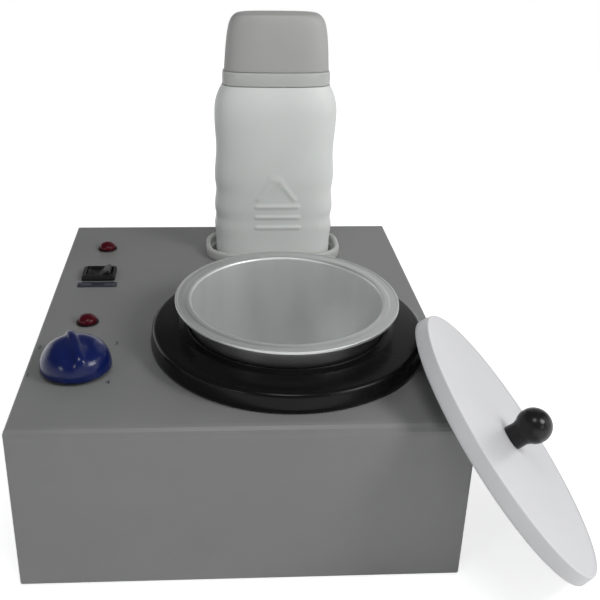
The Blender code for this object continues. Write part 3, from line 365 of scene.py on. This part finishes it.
# Black seat ring with a soft bead round its bore. Its wall outside the bead stands a little
# further to the front than the solid's, as in the photo.
ring_low, ring_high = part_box("seat_ring")
pot_low, pot_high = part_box("pot")
ring = mid("seat_ring")
SOLID_FLANGE, FLANGE = 1.1594, 1.143   # the pot's flange over its wall, in the solid and here
RING_R = half_width(ring_low, ring_high) - 0.2
POT_R = half_width(pot_low, pot_high) / SOLID_FLANGE
RIM_R = FLANGE * POT_R
BORE = POT_R + 1.1
BEAD = 1.3
RING_H = above(ring_high) - BEAD - 0.8
WALL_SHIFT, SHIFTED_FROM = Vector((0.6, -1.4, 0.0)), BORE + 6.0
profile = rounded([(BORE, 0.5), (BORE, RING_H + BEAD, 0.7), (BORE + 1.6, RING_H + BEAD, 0.8),
                   (BORE + 4.2, RING_H + 0.2, 3.0), (RING_R - 1.0, RING_H - 0.4, 2.6),
                   (RING_R, 2.0, 6.0), (RING_R - 1.0, GAP, 0.3), (RING_R - 2.4, GAP),
                   (RING_R - 3.2, RING_H - 2.6, 1.0), (BORE + 3.0, RING_H - 2.4, 1.0),
                   (BORE + 3.0, 1.8), (BORE, 1.8)], closed=True)
shape = lathe(profile, 192)
for vertex in shape.verts:
    if math.hypot(vertex.co.x, vertex.co.y) > SHIFTED_FROM:
        vertex.co += WALL_SHIFT
piece("ring", shape, [BLACK], carrier("seat_ring"), ["seat_ring"],
      place=at(ring.x, ring.y, TOP))

# Heating well, seen when the pot is out
well_low, well_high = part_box("heating_well")
WELL_R, WELL_WALL = POT_R + 0.6, 1.5
deep = above(well_low)
flange = half_width(well_low, well_high)
profile = rounded([(0.0, deep + WELL_WALL), (WELL_R, deep + WELL_WALL, 3.0),
                   (WELL_R, WELL_WALL, 0.5), (flange, WELL_WALL, 0.3), (flange, GAP, 0.3),
                   (WELL_R + WELL_WALL, GAP, 0.3), (WELL_R + WELL_WALL, deep, 3.0), (0.0, deep)])
piece("well", lathe(profile, 160), [SATIN], carrier("heating_well"), ["heating_well"],
      place=at(ring.x, ring.y, TOP))

# Spun pot: satin on its rim and flange; its inside painted brighter than the flange for the light
# it catches, and its polished outside painted dark for the dark things it mirrors
POT_DEEP = 1000.0 * (pot_high.z - pot_low.z)
WALL = 1.2
INNER = POT_R - WALL
profile = rounded([
    (0.0, WALL - POT_DEEP), (INNER, WALL - POT_DEEP, 6.0), (INNER, -0.1, 2.9),
    (INNER + 3.4, -0.1, 0.8), (INNER + 4.0, -0.35, 0.6), (RIM_R - 1.4, -0.3, 0.6),
    (RIM_R - 0.9, 0.0, 0.5), (RIM_R, 0.0, 0.75), (RIM_R, -1.8, 0.5), (RIM_R - WALL, -1.8, 0.5),
    (RIM_R - WALL - 0.2, -WALL - 0.2, 0.3), (POT_R, -WALL - 0.3, 2.6), (POT_R, -POT_DEEP, 7.0),
    (0.0, -POT_DEEP)], steps=8)


def pot_look(radius, height):
    """Which of the pot's three looks a band of its outline has."""
    if radius < INNER + 0.3 and height < -0.9:
        return 0
    return 2 if height < -WALL - 0.1 and radius < RIM_R - 3.0 else 1


piece("pot_spun", lathe(profile, 192, pick=pot_look),
      [INSIDE_PAINTED_BRIGHT, SATIN, POLISH_PAINTED_DARK], carrier("pot"), ["pot"], place=at(ring.x, ring.y, pot_high.z))

# Thermostat knob: a dome with a low, soft grip ridge and a shallow groove on each side of it
knob_low, knob_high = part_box("knob")
knob = mid("knob")
KNOB_R = half_width(knob_low, knob_high)
KNOB_TOP = above(knob_high)
DOME, RIDGE, SKIRT, LIFT = KNOB_TOP - 2.2, KNOB_TOP - 1.7, 2.0, 0.8
GROOVE, GROOVE_AT, GROOVE_W = 0.7, 5.5, 3.0
RIDGE_HALF, RIDGE_SIDE, BLEND = 3.9, 0.7, 0.7
REST = math.radians(108.0)   # way that the ridge points
KNOB_SIDES, KNOB_STEPS, DOME_POWER, FALL_POWER = 144, 54, 3.4, 7.0


def knob_height(x, y):
    """Height of the knob's face, in millimetres."""
    along = x * math.cos(REST) + y * math.sin(REST)
    across = abs(y * math.cos(REST) - x * math.sin(REST))
    share = min(1.0, math.hypot(x, y) / KNOB_R)
    dome = SKIRT + (DOME - SKIRT) * (1.0 - share ** DOME_POWER) ** 0.5
    front = 1.0 - ease((along + 8.0) / 16.0)
    dome -= GROOVE * front * math.exp(-((across - GROOVE_AT) / GROOVE_W) ** 2) * (1.0 - share ** 8)
    fall = max(0.0, 1.0 - (abs(along) / (KNOB_R - 0.5)) ** FALL_POWER) ** 0.5
    side = 1.0 / (1.0 + math.exp((across - RIDGE_HALF) / RIDGE_SIDE))
    ridge = SKIRT + (RIDGE - SKIRT) * (0.9 + 0.1 * ease((along + 16.0) / 24.0)) * fall * side
    height = BLEND * math.log(math.exp(dome / BLEND) + math.exp(ridge / BLEND)) - 0.02
    return min(KNOB_TOP, height)


shape = bmesh.new()
rings = [[shape.verts.new((0.0, 0.0, knob_height(0.0, 0.0)))]]
for k in range(1, KNOB_STEPS + 1):
    radius = KNOB_R * math.sin(0.5 * math.pi * k / KNOB_STEPS)
    rings.append([shape.verts.new((x, y, knob_height(x, y)))
                  for x, y in circle(radius, KNOB_SIDES)])
for radius, height in ((KNOB_R - 0.3, 2.6), (KNOB_R - 1.3, LIFT + 0.4), (KNOB_R - 1.8, LIFT),
                       (6.0, LIFT)):
    rings.append([shape.verts.new((x, y, height)) for x, y in circle(radius, KNOB_SIDES)])
for low, high in zip(rings, rings[1:]):
    for i in range(KNOB_SIDES):
        j = (i + 1) % KNOB_SIDES
        if len(low) == 1:
            shape.faces.new((low[0], high[i], high[j]))
        else:
            shape.faces.new((low[i], high[i], high[j], low[j]))
shape.faces.new(rings[-1])
piece("dial_knob", shape, [BLUE], carrier("knob"), ["knob"], sharp=50.0,
      place=at(knob.x, knob.y, TOP))

CAPITAL = 0.7   # height of a capital letter, over the font's size


def printed(name, text, x, y, height, look=INK, lift=0.0):
    """Plain characters printed on the panel. The place is in metres, the height in millimetres."""
    data = bpy.data.curves.new(name, "FONT")
    data.body = text
    data.align_x = "CENTER"
    data.align_y = "CENTER"
    data.size = height * MM / CAPITAL
    data.extrude = 0.02 * MM
    data.resolution_u = 3
    made = bpy.data.objects.new(name, data)
    scene.collection.objects.link(made)
    made.matrix_world = Matrix.Translation((x, y, TOP + (0.04 + lift) * MM))
    bpy.context.view_layer.update()
    graph = bpy.context.evaluated_depsgraph_get()
    mesh = bpy.data.meshes.new_from_object(made.evaluated_get(graph))
    mesh.transform(made.matrix_world)
    bpy.data.objects.remove(made)
    mesh.materials.clear()
    mesh.materials.append(look)
    flat = bpy.data.objects.new(name, mesh)
    scene.collection.objects.link(flat)
    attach(flat, carrier("housing_shell"))


# Plain numbers round the knob, at places from its middle
for number, (x, y) in enumerate(((-22.6, -5.7), (-21.6, 21.4), (17.1, 24.4), (16.6, -13.0)), 1):
    printed(f"dial_{number}", str(number), knob.x + x * MM, knob.y + y * MM, 3.0)

# Signal lamps
LENS_R, LENS_STEPS = 5.2, 12
for number in (1, 2):
    lamp = mid(f"lamp_bezel_{number}")
    low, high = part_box(f"lamp_bezel_{number}")
    radius, tall = half_width(low, high), above(high)
    profile = rounded([(5.5, tall - 1.3, 0.2), (5.5, tall - 0.9, 0.2),
                       (radius - 0.4, tall - 1.1, 0.4), (radius, GAP, 0.2), (4.9, GAP),
                       (4.9, -12.0), (3.6, -12.0), (3.6, 0.2), (4.7, 0.2), (5.4, 0.5)],
                      closed=True)
    piece(f"bezel_{number}", lathe(profile, 72), [DARK], carrier(f"lamp_bezel_{number}"),
          [f"lamp_bezel_{number}"], place=at(lamp.x, lamp.y, TOP))
    peak = above(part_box(f"lamp_lens_{number}")[1])
    profile = [Vector((0.0, peak))]
    for k in range(1, LENS_STEPS + 1):
        angle = 0.5 * math.pi * (1.0 - k / LENS_STEPS)
        profile.append(Vector((LENS_R * math.cos(angle),
                               tall - 0.7 + (peak - tall + 0.7) * math.sin(angle) ** 0.9)))
    profile += [Vector((LENS_R, 0.8)), Vector((3.3, 0.6)), Vector((3.3, -7.0)), Vector((0.0, -7.0))]
    piece(f"lens_{number}", lathe(profile, 72), [RED], carrier(f"lamp_lens_{number}"),
          [f"lamp_lens_{number}"], place=at(lamp.x, lamp.y, TOP))

# White collar and sleeve round the cartridge
cart = mid("cartridge_bottle")
sleeve_low, sleeve_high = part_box("cartridge_sleeve")
COLLAR_W = 1000.0 * (sleeve_high.x - sleeve_low.x)
COLLAR_D = 1000.0 * (sleeve_high.y - sleeve_low.y)
COLLAR = above(sleeve_high)
SLEEVE_W, SLEEVE_D, HOLLOW_W, HOLLOW_D = 80.2, 36.2, 77.0, 33.0
LIP, LIP_ROUND, LIP_STEPS = 3.3, 1.5, 8
deep = above(sleeve_low)
sections = [oval(SLEEVE_W, SLEEVE_D, deep), oval(SLEEVE_W, SLEEVE_D, GAP),
            oval(COLLAR_W - 0.4, COLLAR_D - 0.4, GAP), oval(COLLAR_W, COLLAR_D, 0.9)]
for k in range(LIP_STEPS + 1):
    angle = math.pi * k / LIP_STEPS
    inset = LIP_ROUND * (1.0 - math.cos(angle))
    sections.append(oval(COLLAR_W - inset * 2.0 - 0.3, COLLAR_D - inset * 2.0 - 0.3,
                         COLLAR - LIP_ROUND + LIP_ROUND * math.sin(angle)))
sections += [oval(COLLAR_W - 2.0 * LIP, COLLAR_D - 2.0 * LIP, 1.0),
             oval(HOLLOW_W + 0.4, HOLLOW_D + 0.4, 0.4), oval(HOLLOW_W, HOLLOW_D, -0.4),
             oval(HOLLOW_W, HOLLOW_D, deep + 1.6)]
piece("collar", loft(sections), [WHITE], carrier("cartridge_sleeve"), ["cartridge_sleeve"],
      place=at(cart.x, cart.y, TOP))

# Cartridge bottle, with soft grip waves down its sides and a plain mark raised on its front
bottle_low, bottle_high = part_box("cartridge_bottle")
CART_W, CART_D = 74.0, 30.0
NECK = above(bottle_high)
foot = above(bottle_low)
BASE_SHARE, SHOULDER, NECK_SHARE = 0.974, 0.856, 0.8716
# Height over the neck's, and width over the bottle's
WAVES = ((0.019, 0.974), (0.112, 0.978), (0.177, 0.997), (0.237, 0.976), (0.298, 0.997),
         (0.391, 0.974), (0.484, 0.997), (0.633, 0.973), (0.781, 0.997), (SHOULDER, 1.0),
         (0.902, 0.985), (0.940, 0.955), (0.972, 0.915), (1.0, NECK_SHARE))
line = [(foot + 3.0, BASE_SHARE, CART_D)]
for height, share in WAVES:
    across = CART_D * (1.0 - 0.35 * (1.0 - share))
    if height > SHOULDER:
        across = CART_D - 6.0 * (1.0 - share) / (1.0 - NECK_SHARE)
    line.append((height * NECK, share, across))
base_w, base_d = BASE_SHARE * CART_W, 0.99 * CART_D
BOTTLE_FORM = (3.2, 288)   # power and number of points of each section
sections = [oval(base_w - inset, base_d - inset, foot + rise, *BOTTLE_FORM)
            for inset, rise in ((6.0, 0.0), (2.0, 0.7), (0.5, 1.8))]
sections += [oval(CART_W * share, min(CART_D, across), height, *BOTTLE_FORM)
             for height, share, across in smooth_line(line, 14)]
# Ends (x, z) of the mark's bars. A bar fades out at BAR_REACH / BAR_FADE from its middle line.
BARS = [((-11.0, 34.9), (14.0, 34.9)), ((-11.0, 28.0), (14.5, 28.0)),
        ((-11.0, 21.2), (15.0, 21.2)), ((-0.5, 55.4), (11.6, 39.8)),
        ((-0.5, 55.4), (-10.5, 39.8))]
BAR_REACH, BAR_FADE, BAR_RISE = 1.3, 0.62, 0.55
MARK_LOW, MARK_HIGH, MARK_FRONT = 15.0, 62.0, -0.42 * CART_D
SEAM_RISE, SEAM_REACH = 0.12, 0.35


def raised(x, z):
    """How far the mark stands out here, from 0 to 1."""
    most = 0.0
    for (ax, az), (bx, bz) in BARS:
        span = Vector((bx - ax, bz - az))
        share = min(1.0, max(0.0, Vector((x - ax, z - az)).dot(span) / span.length_squared))
        gap = (Vector((x, z)) - Vector((ax, az)) - share * span).length
        most = max(most, ease(1.0 - gap / BAR_REACH * BAR_FADE))
    return most


for section in sections:
    for point in section:
        if point.y < MARK_FRONT and MARK_LOW < point.z < MARK_HIGH:
            point.y -= BAR_RISE * raised(point.x, point.z)
        seam = math.exp(-(point.y / SEAM_REACH) ** 2)
        if point.z > 0.0:
            point.x += math.copysign(SEAM_RISE * seam, point.x)
piece("bottle", loft(sections), [BOTTLE], carrier("cartridge_bottle"), ["cartridge_bottle"],
      sharp=45.0, place=at(cart.x, cart.y, TOP))

# Roller head: the band round the neck, with the slot for the roller
NECK_W, NECK_D = 64.5, 24.0
BAND = 8.5
SLOT_W, SLOT_D, SLOT_LOW = 53.8, 13.4, -5.0
sections = [oval(60.2, 19.8, SLOT_LOW), oval(60.4, 20.0, GAP)]
sections += [oval(NECK_W - inset, NECK_D - inset, height)
             for inset, height in ((1.2, GAP), (0.2, 0.8), (0.1, 4.0), (0.4, BAND - 1.0),
                                   (1.4, BAND - 0.2), (2.6, BAND))]
sections += [oval(59.0, 19.4, BAND), oval(58.8, 19.2, BAND + 2.4), oval(58.0, 18.4, BAND + 3.0),
             oval(SLOT_W + 1.0, SLOT_D + 1.0, BAND + 3.0, 9.0),
             oval(SLOT_W, SLOT_D, BAND + 2.4, 12.0), oval(SLOT_W, SLOT_D, SLOT_LOW, 12.0)]
piece("head", loft(sections, closed=True), [WHITE], carrier("roller_head"), ["roller_head"],
      place=at(cart.x, cart.y, bottle_high.z))

# Cap over the roller
cap_low, cap_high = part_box("cartridge_cap")
CAP_W, CAP_D, CAP_WALL = 62.4, 23.0, 1.3
CAP_H = 1000.0 * (cap_high.z - cap_low.z)
line = smooth_line([(0.0, 1.0), (0.3, 0.978), (0.6, 0.948), (0.78, 0.915), (0.88, 0.878),
                    (0.945, 0.828), (0.985, 0.765), (1.0, 0.69)], 8)
inside = [oval(CAP_W * share - 2.0 * CAP_WALL, CAP_D * share - 2.0 * CAP_WALL,
               height * (CAP_H - CAP_WALL)) for height, share in line]
outside = [oval(CAP_W * share, CAP_D * share, height * CAP_H) for height, share in line[1:]]
sections = [*reversed(inside), oval(CAP_W - 0.5, CAP_D - 0.5, 0.0), oval(CAP_W, CAP_D, 0.3),
            *outside, oval(CAP_W * 0.5, CAP_D * 0.45, CAP_H)]
piece("cap", loft(sections), [CAP], carrier("cartridge_cap"), ["cartridge_cap"], sharp=45.0,
      place=at(cart.x, cart.y, cap_low.z))

# Roller
roller = mid("roller")
low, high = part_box("roller")
half, radius, bore = half_width(low, high), 500.0 * (high.z - low.z), 1.8
profile = rounded([(bore, -half), (radius, -half, 0.8), (radius, half, 0.8), (bore, half)],
                  closed=True, steps=5)
piece("roll", lathe(profile, 72), [WHITE], carrier("roller"), ["roller"],
      place=at(roller.x, roller.y, roller.z) @ Matrix.Rotation(math.pi / 2.0, 4, "Y"))

# Lid and ball knob, in the lid's own tilted frame, where its solid is measured
LEAN, TURN = math.radians(39.8), math.radians(-7.0)
tilt = (Matrix.Rotation(TURN, 4, "Z") @ Matrix.Rotation(math.pi / 2.0 - LEAN, 4, "Y"))
inverse = tilt.inverted()
own = [inverse @ vertex.co for vertex in nodes["lid"].data.vertices]
spans = [(min(p[k] for p in own), max(p[k] for p in own)) for k in range(3)]
LID_R = 500.0 * (spans[1][1] - spans[1][0]) - 0.1
DEEP = 1000.0 * (spans[2][1] - spans[2][0])
lid_place = tilt @ at(0.5 * sum(spans[0]), 0.5 * sum(spans[1]), spans[2][1])
profile = rounded([(2.0, -0.9), (LID_R - 3.4, -0.8, 5.0), (LID_R - 2.2, -0.35, 0.8),
                   (LID_R - 0.95, -0.35, 0.6), (LID_R - 0.1, 1.5 - DEEP, 4.0),
                   (LID_R, -DEEP, 0.6), (LID_R - 1.5, -DEEP, 0.45), (LID_R - 1.9, -1.6, 2.0),
                   (LID_R - 6.0, -1.9, 2.0), (2.0, -2.4)], closed=True, steps=7)
piece("lid_dish", lathe(profile, 192), [LID], carrier("lid"), ["lid"], place=lid_place)
own = [inverse @ vertex.co for vertex in nodes["lid_knob"].data.vertices]
peak = 1000.0 * (max(p.z for p in own) - spans[2][1])
BALL_R = 500.0 * (max(p.y for p in own) - min(p.y for p in own))
BALL_STEPS, BALL_END = 32, 40.0   # the ball ends this many degrees below its middle
PART_LINE, PART_REACH = 0.10, 1.5   # depth of the moulding line in mm, half its width in degrees
ball_z = peak - BALL_R
profile = [Vector((0.0, peak))]
for k in range(1, BALL_STEPS + 1):
    angle = math.radians(90.0 - k * (90.0 + BALL_END) / BALL_STEPS)
    radius = BALL_R - PART_LINE * math.exp(-(math.degrees(angle) / PART_REACH) ** 2)
    profile.append(Vector((radius * math.cos(angle), ball_z + BALL_R * math.sin(angle))))
profile += rounded([(6.0, 4.2), (6.1, -0.8, 0.3), (0.0, -0.8)])
piece("ball", lathe(profile, 96), [BALL], carrier("lid_knob"), ["lid_knob"], place=lid_place)


def carved(shape, tool):
    """Bmesh of the shape with the tool cut out of it."""
    pair = []
    for name, part in (("shape", shape), ("tool", tool)):
        mesh = bpy.data.meshes.new(name)
        bmesh.ops.recalc_face_normals(part, faces=part.faces)
        part.to_mesh(mesh)
        part.free()
        pair.append(bpy.data.objects.new(name, mesh))
        scene.collection.objects.link(pair[-1])
    cut = pair[0].modifiers.new("cut", "BOOLEAN")
    cut.object = pair[1]
    cut.solver = "EXACT"
    bpy.context.view_layer.update()
    made = bmesh.new()
    made.from_object(pair[0], bpy.context.evaluated_depsgraph_get())
    for one in pair:
        mesh = one.data
        bpy.data.objects.remove(one)
        bpy.data.meshes.remove(mesh)
    return made


SHANK_R, POINT_R = 1.35, 0.8


def screw(name, node, place, radius, tall, length):
    """Pan head screw with a cross recess, its point up its own Z and its head below the place."""
    profile = rounded([(0.0, length), (POINT_R, length), (SHANK_R, length - 1.0), (SHANK_R, 0.0),
                       (radius, 0.0, 0.15), (radius * 0.97, -0.45 * tall, 0.6),
                       (radius * 0.6, -tall, 0.8), (0.0, -tall)], steps=4)
    reach, half = 0.58 * radius, 0.12 * radius
    outline = [(reach, -half), (reach, half), (half, half), (half, reach), (-half, reach),
               (-half, half), (-reach, half), (-reach, -half), (-half, -half), (-half, -reach),
               (half, -reach), (half, -half)]
    tool = loft([[(x, y, z) for x, y in outline] for z in (-2.0 * tall, -0.35 * tall)])
    piece(name, carved(lathe(profile, 40), tool), [STEEL], carrier(node), [node], place=place)


# Screws of lid, case and base, and the rubber feet
screw("knob_screw", "lid_screw", lid_place @ Matrix.Translation((0.0, 0.0, -2.8)), 3.4, 1.2, 9.6)
SCREW_R, FOOT_BORE, FOOT_HOLLOW = 2.8, 1.7, 3.4
for number in range(1, 5):
    spot = mid(f"side_screw_{number}")
    side = 1.0 if spot.x > centre.x else -1.0
    edge = (shell_high.x if side > 0.0 else shell_low.x) + side * GAP * MM
    screw(f"case_screw_{number}", f"side_screw_{number}",
          at(edge, spot.y, spot.z) @ Matrix.Rotation(-side * math.pi / 2.0, 4, "Y"),
          SCREW_R, 1.2, 6.0)
    low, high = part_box(f"foot_{number}")
    spot = mid(f"foot_{number}")
    tall = 1000.0 * (high.z - low.z)
    profile = rounded([(FOOT_BORE, tall), (7.0, tall, 0.2), (6.7, 0.0, 0.6),
                       (FOOT_HOLLOW, 0.0, 0.4), (FOOT_HOLLOW, 1.6), (FOOT_BORE, 1.6)], closed=True)
    piece(f"rubber_foot_{number}", lathe(profile, 56), [RUBBER], carrier(f"foot_{number}"),
          [f"foot_{number}"], place=at(spot.x, spot.y, low.z))
    low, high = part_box(f"foot_screw_{number}")
    screw(f"base_screw_{number}", f"foot_screw_{number}",
          at(spot.x, spot.y, high.z - 7.0 * MM), SCREW_R, 0.95, 7.0)

# Rocker switch: a bezel with a recess, its rim moved to the front as in the photo
switch = mid("switch_frame")
low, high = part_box("switch_frame")
width, broad = (1000.0 * (high - low)[k] for k in range(2))
frame_h = above(high)
ROCKER_R, ROCKER_D, RUN, BODY_WALL = 7.4, 10.8, 0.3, 0.9
HOLE_W, HOLE_D = 15.4, 11.4
SHIFT = 2.2
body_w, body_d = 2.0 * (ROCKER_R + RUN + BODY_WALL), ROCKER_D + 2.0 * (RUN + BODY_WALL)
slab_w = width - 1.2
slab = [block(slab_w - inset, broad - inset, height)
        for inset, height in ((0.5, GAP), (0.0, GAP + 0.25), (0.0, frame_h - 0.45),
                              (0.3, frame_h - 0.12), (0.9, frame_h))]
sections = [block(body_w, body_d, -12.0), block(body_w, body_d, GAP)]
sections += [[point + Vector((0.0, -SHIFT, 0.0)) for point in section] for section in slab]
sections += [block(HOLE_W + 0.9, HOLE_D + 0.9, frame_h),
             block(HOLE_W + 0.2, HOLE_D + 0.2, frame_h - 0.35),
             block(HOLE_W, HOLE_D, frame_h - 0.7), block(HOLE_W, HOLE_D, -8.0)]
piece("switch_bezel", loft(sections), [DARK], carrier("switch_frame"), ["switch_frame"],
      place=at(switch.x, switch.y, TOP))
for name, side in (("tab_left", -1.0), ("tab_right", 1.0)):
    shape = loft([block(0.8, 4.8, -19.0, 32), block(0.8, 4.8, -11.5, 32)])
    piece(name, shape, [BRASS], carrier("switch_frame"),
          place=at(switch.x + side * 4.8 * MM, switch.y, TOP))

# Rocker with a dished top, one end up
ROCK = math.radians(11.0)
VALLEY, ARC_STEPS, DISH_STEPS = 1.7, 12, 12
outline = []
for k in range(ARC_STEPS + 1):
    angle = math.radians(-30.0 + 60.0 * k / ARC_STEPS)
    outline.append(Vector((ROCKER_R * math.cos(angle), ROCKER_R * math.sin(angle))))
end = outline[-1]
dish = []
for k in range(1, 2 * DISH_STEPS):
    x = end.x * (1.0 - k / DISH_STEPS)
    dish.append(Vector((x, VALLEY + (end.y - VALLEY) * (abs(x) / end.x) ** 1.6)))
outline += dish + [Vector((-p.x, p.y)) for p in reversed(outline)]
half, soft = 0.5 * ROCKER_D, 0.25
ends = ((-half, soft), (-half + soft, 0.0), (half - soft, 0.0), (half, soft))
shape = loft([[(p.x * (1.0 - inset / ROCKER_R), y, p.y - (inset if p.y > 1.0 else -inset))
               for p in outline] for y, inset in ends])
piece("rocker_key", shape, [DARK], carrier("rocker"), ["rocker"], sharp=40.0,
      place=at(switch.x, switch.y, TOP - 0.2 * MM) @ Matrix.Rotation(-ROCK, 4, "Y"))

# Label strip in front of the switch
STRIP_W, STRIP_D = 23.2, 6.8
strip_x, strip_y = switch.x + 0.2 * MM, switch.y - 0.5 * broad * MM - 6.7 * MM
shape = loft([block(STRIP_W - inset, STRIP_D - inset, height, 64)
              for inset, height in ((0.2, 0.02), (0.0, 0.06), (0.0, 0.14), (0.3, 0.2))])
piece("label_strip", shape, [FILM], carrier("housing_shell"), place=at(strip_x, strip_y, TOP))
printed("label_off", "OFF", strip_x - 6.6 * MM, strip_y, 2.4, look=PRINT, lift=0.2)
printed("label_on", "ON", strip_x + 6.8 * MM, strip_y, 2.4, look=PRINT, lift=0.2)

# Cord gland in the rear wall, with bend relief rings
gland = mid("cord_gland")
low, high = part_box("cord_gland")
back = shell_high.y
out = 1000.0 * (high.y - back)
CORD_R, STEM_R = 3.6, 6.0
profile = [(CORD_R, out, 0.2), (4.6, out, 0.3)]
for k in range(3):
    z = out - 1.4 - 1.9 * k
    grow = 0.25 * k
    profile += [(4.9 + grow, z + 0.4, 0.2), (4.3 + grow, z + 0.1, 0.2),
                (4.3 + grow, z - 0.5, 0.2), (5.0 + grow, z - 0.8, 0.2)]
profile += [(STEM_R, 3.2, 0.4), (9.0, 2.5, 0.6), (9.0, GAP, 0.3), (STEM_R, GAP), (STEM_R, -9.0),
            (CORD_R, -9.0)]
piece("gland", lathe(rounded(profile, closed=True, steps=3), 72), [RUBBER], carrier("cord_gland"),
      ["cord_gland"], place=at(gland.x, back, gland.z) @ Matrix.Rotation(-math.pi / 2.0, 4, "X"))


# Floor
def seen_rays(tree):
    """One for camera, glossy and transmission rays, which see the pale background, else nothing."""
    rays = tree.nodes.new("ShaderNodeLightPath")
    total = rays.outputs["Is Camera Ray"]
    for kind in ("Is Glossy Ray", "Is Transmission Ray"):
        most = tree.nodes.new("ShaderNodeMath")
        most.operation = "MAXIMUM"
        tree.links.new(total, most.inputs[0])
        tree.links.new(rays.outputs[kind], most.inputs[1])
        total = most.outputs["Value"]
    return total


FLOOR_R = 1.2   # metres
floor_mesh = bpy.data.meshes.new("floor")
shape = bmesh.new()
bmesh.ops.create_circle(shape, cap_ends=True, segments=96, radius=FLOOR_R)
shape.to_mesh(floor_mesh)
shape.free()
floor = bpy.data.objects.new("floor", floor_mesh)
floor.location = (centre.x, centre.y, -0.05 * MM)
scene.collection.objects.link(floor)
floor_look, tree, shader = new_material("floor")
speck = noise_node(tree, place_node(tree), 6.0)
tree.links.new(ramp_node(tree, speck, (0.3, (0.91, 0.91, 0.91)), (0.7, (0.93, 0.93, 0.93))),
               shader.inputs["Base Color"])
shader.inputs["Roughness"].default_value = 0.8
# The glow brings the floor up to the white of the background, more so away from the object
distance = tree.nodes.new("ShaderNodeVectorMath")
distance.operation = "LENGTH"
coords = tree.nodes.new("ShaderNodeTexCoord")
tree.links.new(coords.outputs["Object"], distance.inputs[0])
glow = tree.nodes.new("ShaderNodeEmission")
tree.links.new(range_node(tree, distance.outputs["Value"], 0.72, 1.0, 0.25, 0.8),
               glow.inputs["Strength"])
both = tree.nodes.new("ShaderNodeAddShader")
tree.links.new(shader.outputs["BSDF"], both.inputs[0])
tree.links.new(glow.outputs["Emission"], both.inputs[1])
pick = tree.nodes.new("ShaderNodeMixShader")
tree.links.new(seen_rays(tree), pick.inputs["Fac"])
tree.links.new(shader.outputs["BSDF"], pick.inputs[1])
tree.links.new(both.outputs["Shader"], pick.inputs[2])
tree.links.new(pick.outputs["Shader"], tree.nodes["Material Output"].inputs["Surface"])
floor_mesh.materials.append(floor_look)

# World: a dim fill, and white at the horizon for the rays that see the background
world = bpy.data.worlds.new("studio")
scene.world = world
world.use_nodes = True
tree = world.node_tree
tree.nodes.clear()
out = tree.nodes.new("ShaderNodeOutputWorld")
mix = tree.nodes.new("ShaderNodeMixShader")
fill = tree.nodes.new("ShaderNodeBackground")
fill.inputs["Color"].default_value = (0.95, 0.97, 1.0, 1.0)
fill.inputs["Strength"].default_value = 0.15
seen = tree.nodes.new("ShaderNodeBackground")
seen.inputs["Color"].default_value = (1.0, 1.0, 1.0, 1.0)
coords = tree.nodes.new("ShaderNodeTexCoord")
split = tree.nodes.new("ShaderNodeSeparateXYZ")
tree.links.new(coords.outputs["Generated"], split.inputs["Vector"])
tree.links.new(range_node(tree, split.outputs["Z"], 1.0, 0.1, 0.06, 0.4), seen.inputs["Strength"])
tree.links.new(seen_rays(tree), mix.inputs["Fac"])
tree.links.new(fill.outputs["Background"], mix.inputs[1])
tree.links.new(seen.outputs["Background"], mix.inputs[2])
tree.links.new(mix.outputs["Shader"], out.inputs["Surface"])

# Square lamps: degrees from the front to the right, degrees up, distance and side in metres, watts
LAMPS = (
    ("right_front", 55.0, 36.0, 0.7, 0.2, 1.55), ("key", 0.0, 62.0, 0.75, 0.2, 1.1),
    ("left_front", -40.0, 22.0, 1.0, 0.17, 0.62), ("right", 80.0, 22.0, 1.0, 0.6, 0.95),
    ("front_right", 38.0, 18.0, 1.0, 0.17, 0.32), ("rear_right", 150.0, 28.0, 0.8, 0.7, 0.55),
    ("rear_left", -125.0, 8.0, 1.0, 0.6, 0.7),
)
AIM_HEIGHT = 0.08   # metres
aim = centre + Vector((0.0, 0.0, AIM_HEIGHT))
for name, azimuth, rise, far, size, power in LAMPS:
    azimuth, rise = math.radians(azimuth), math.radians(rise)
    way = Vector((math.sin(azimuth) * math.cos(rise), -math.cos(azimuth) * math.cos(rise),
                  math.sin(rise)))
    data = bpy.data.lights.new(name, "AREA")
    data.shape = "RECTANGLE"
    data.size, data.size_y = size, size
    data.energy = power
    light = bpy.data.objects.new(name, data)
    light.location = aim + far * way
    light.rotation_euler = (aim - (aim + far * way)).to_track_quat("-Z", "Y").to_euler()
    scene.collection.objects.link(light)

# Camera solved from the photo: place in mm from the middle of the housing's panel, then the lens
YAW, PITCH, ROLL = math.radians(3.24), math.radians(23.75), math.radians(0.91)
FOCUS, AXIS_U, AXIS_V, PICTURE, SENSOR = 868.5, 259.2, 253.8, 600.0, 36.0
eye = Vector((centre.x, centre.y, shell_high.z)) + Vector((-12.3, -438.5, 224.2)) * MM
ahead = Vector((math.sin(YAW) * math.cos(PITCH), math.cos(YAW) * math.cos(PITCH), -math.sin(PITCH)))
right = Vector((math.cos(YAW), -math.sin(YAW), 0.0))
up = right.cross(ahead)
right, up = (math.cos(ROLL) * right + math.sin(ROLL) * up,
             math.cos(ROLL) * up - math.sin(ROLL) * right)
camera_data = bpy.data.cameras.new("camera")
camera_data.sensor_width = SENSOR
camera_data.lens = FOCUS / PICTURE * SENSOR
camera_data.shift_x = (0.5 * PICTURE - AXIS_U) / PICTURE
camera_data.shift_y = (AXIS_V - 0.5 * PICTURE) / PICTURE
camera_data.clip_start = 0.01
camera = bpy.data.objects.new("camera", camera_data)
turn = Matrix((right, up, -ahead)).transposed().to_4x4()
camera.matrix_world = Matrix.Translation(eye) @ turn
scene.collection.objects.link(camera)
scene.camera = camera
scene.view_settings.view_transform = "Standard"
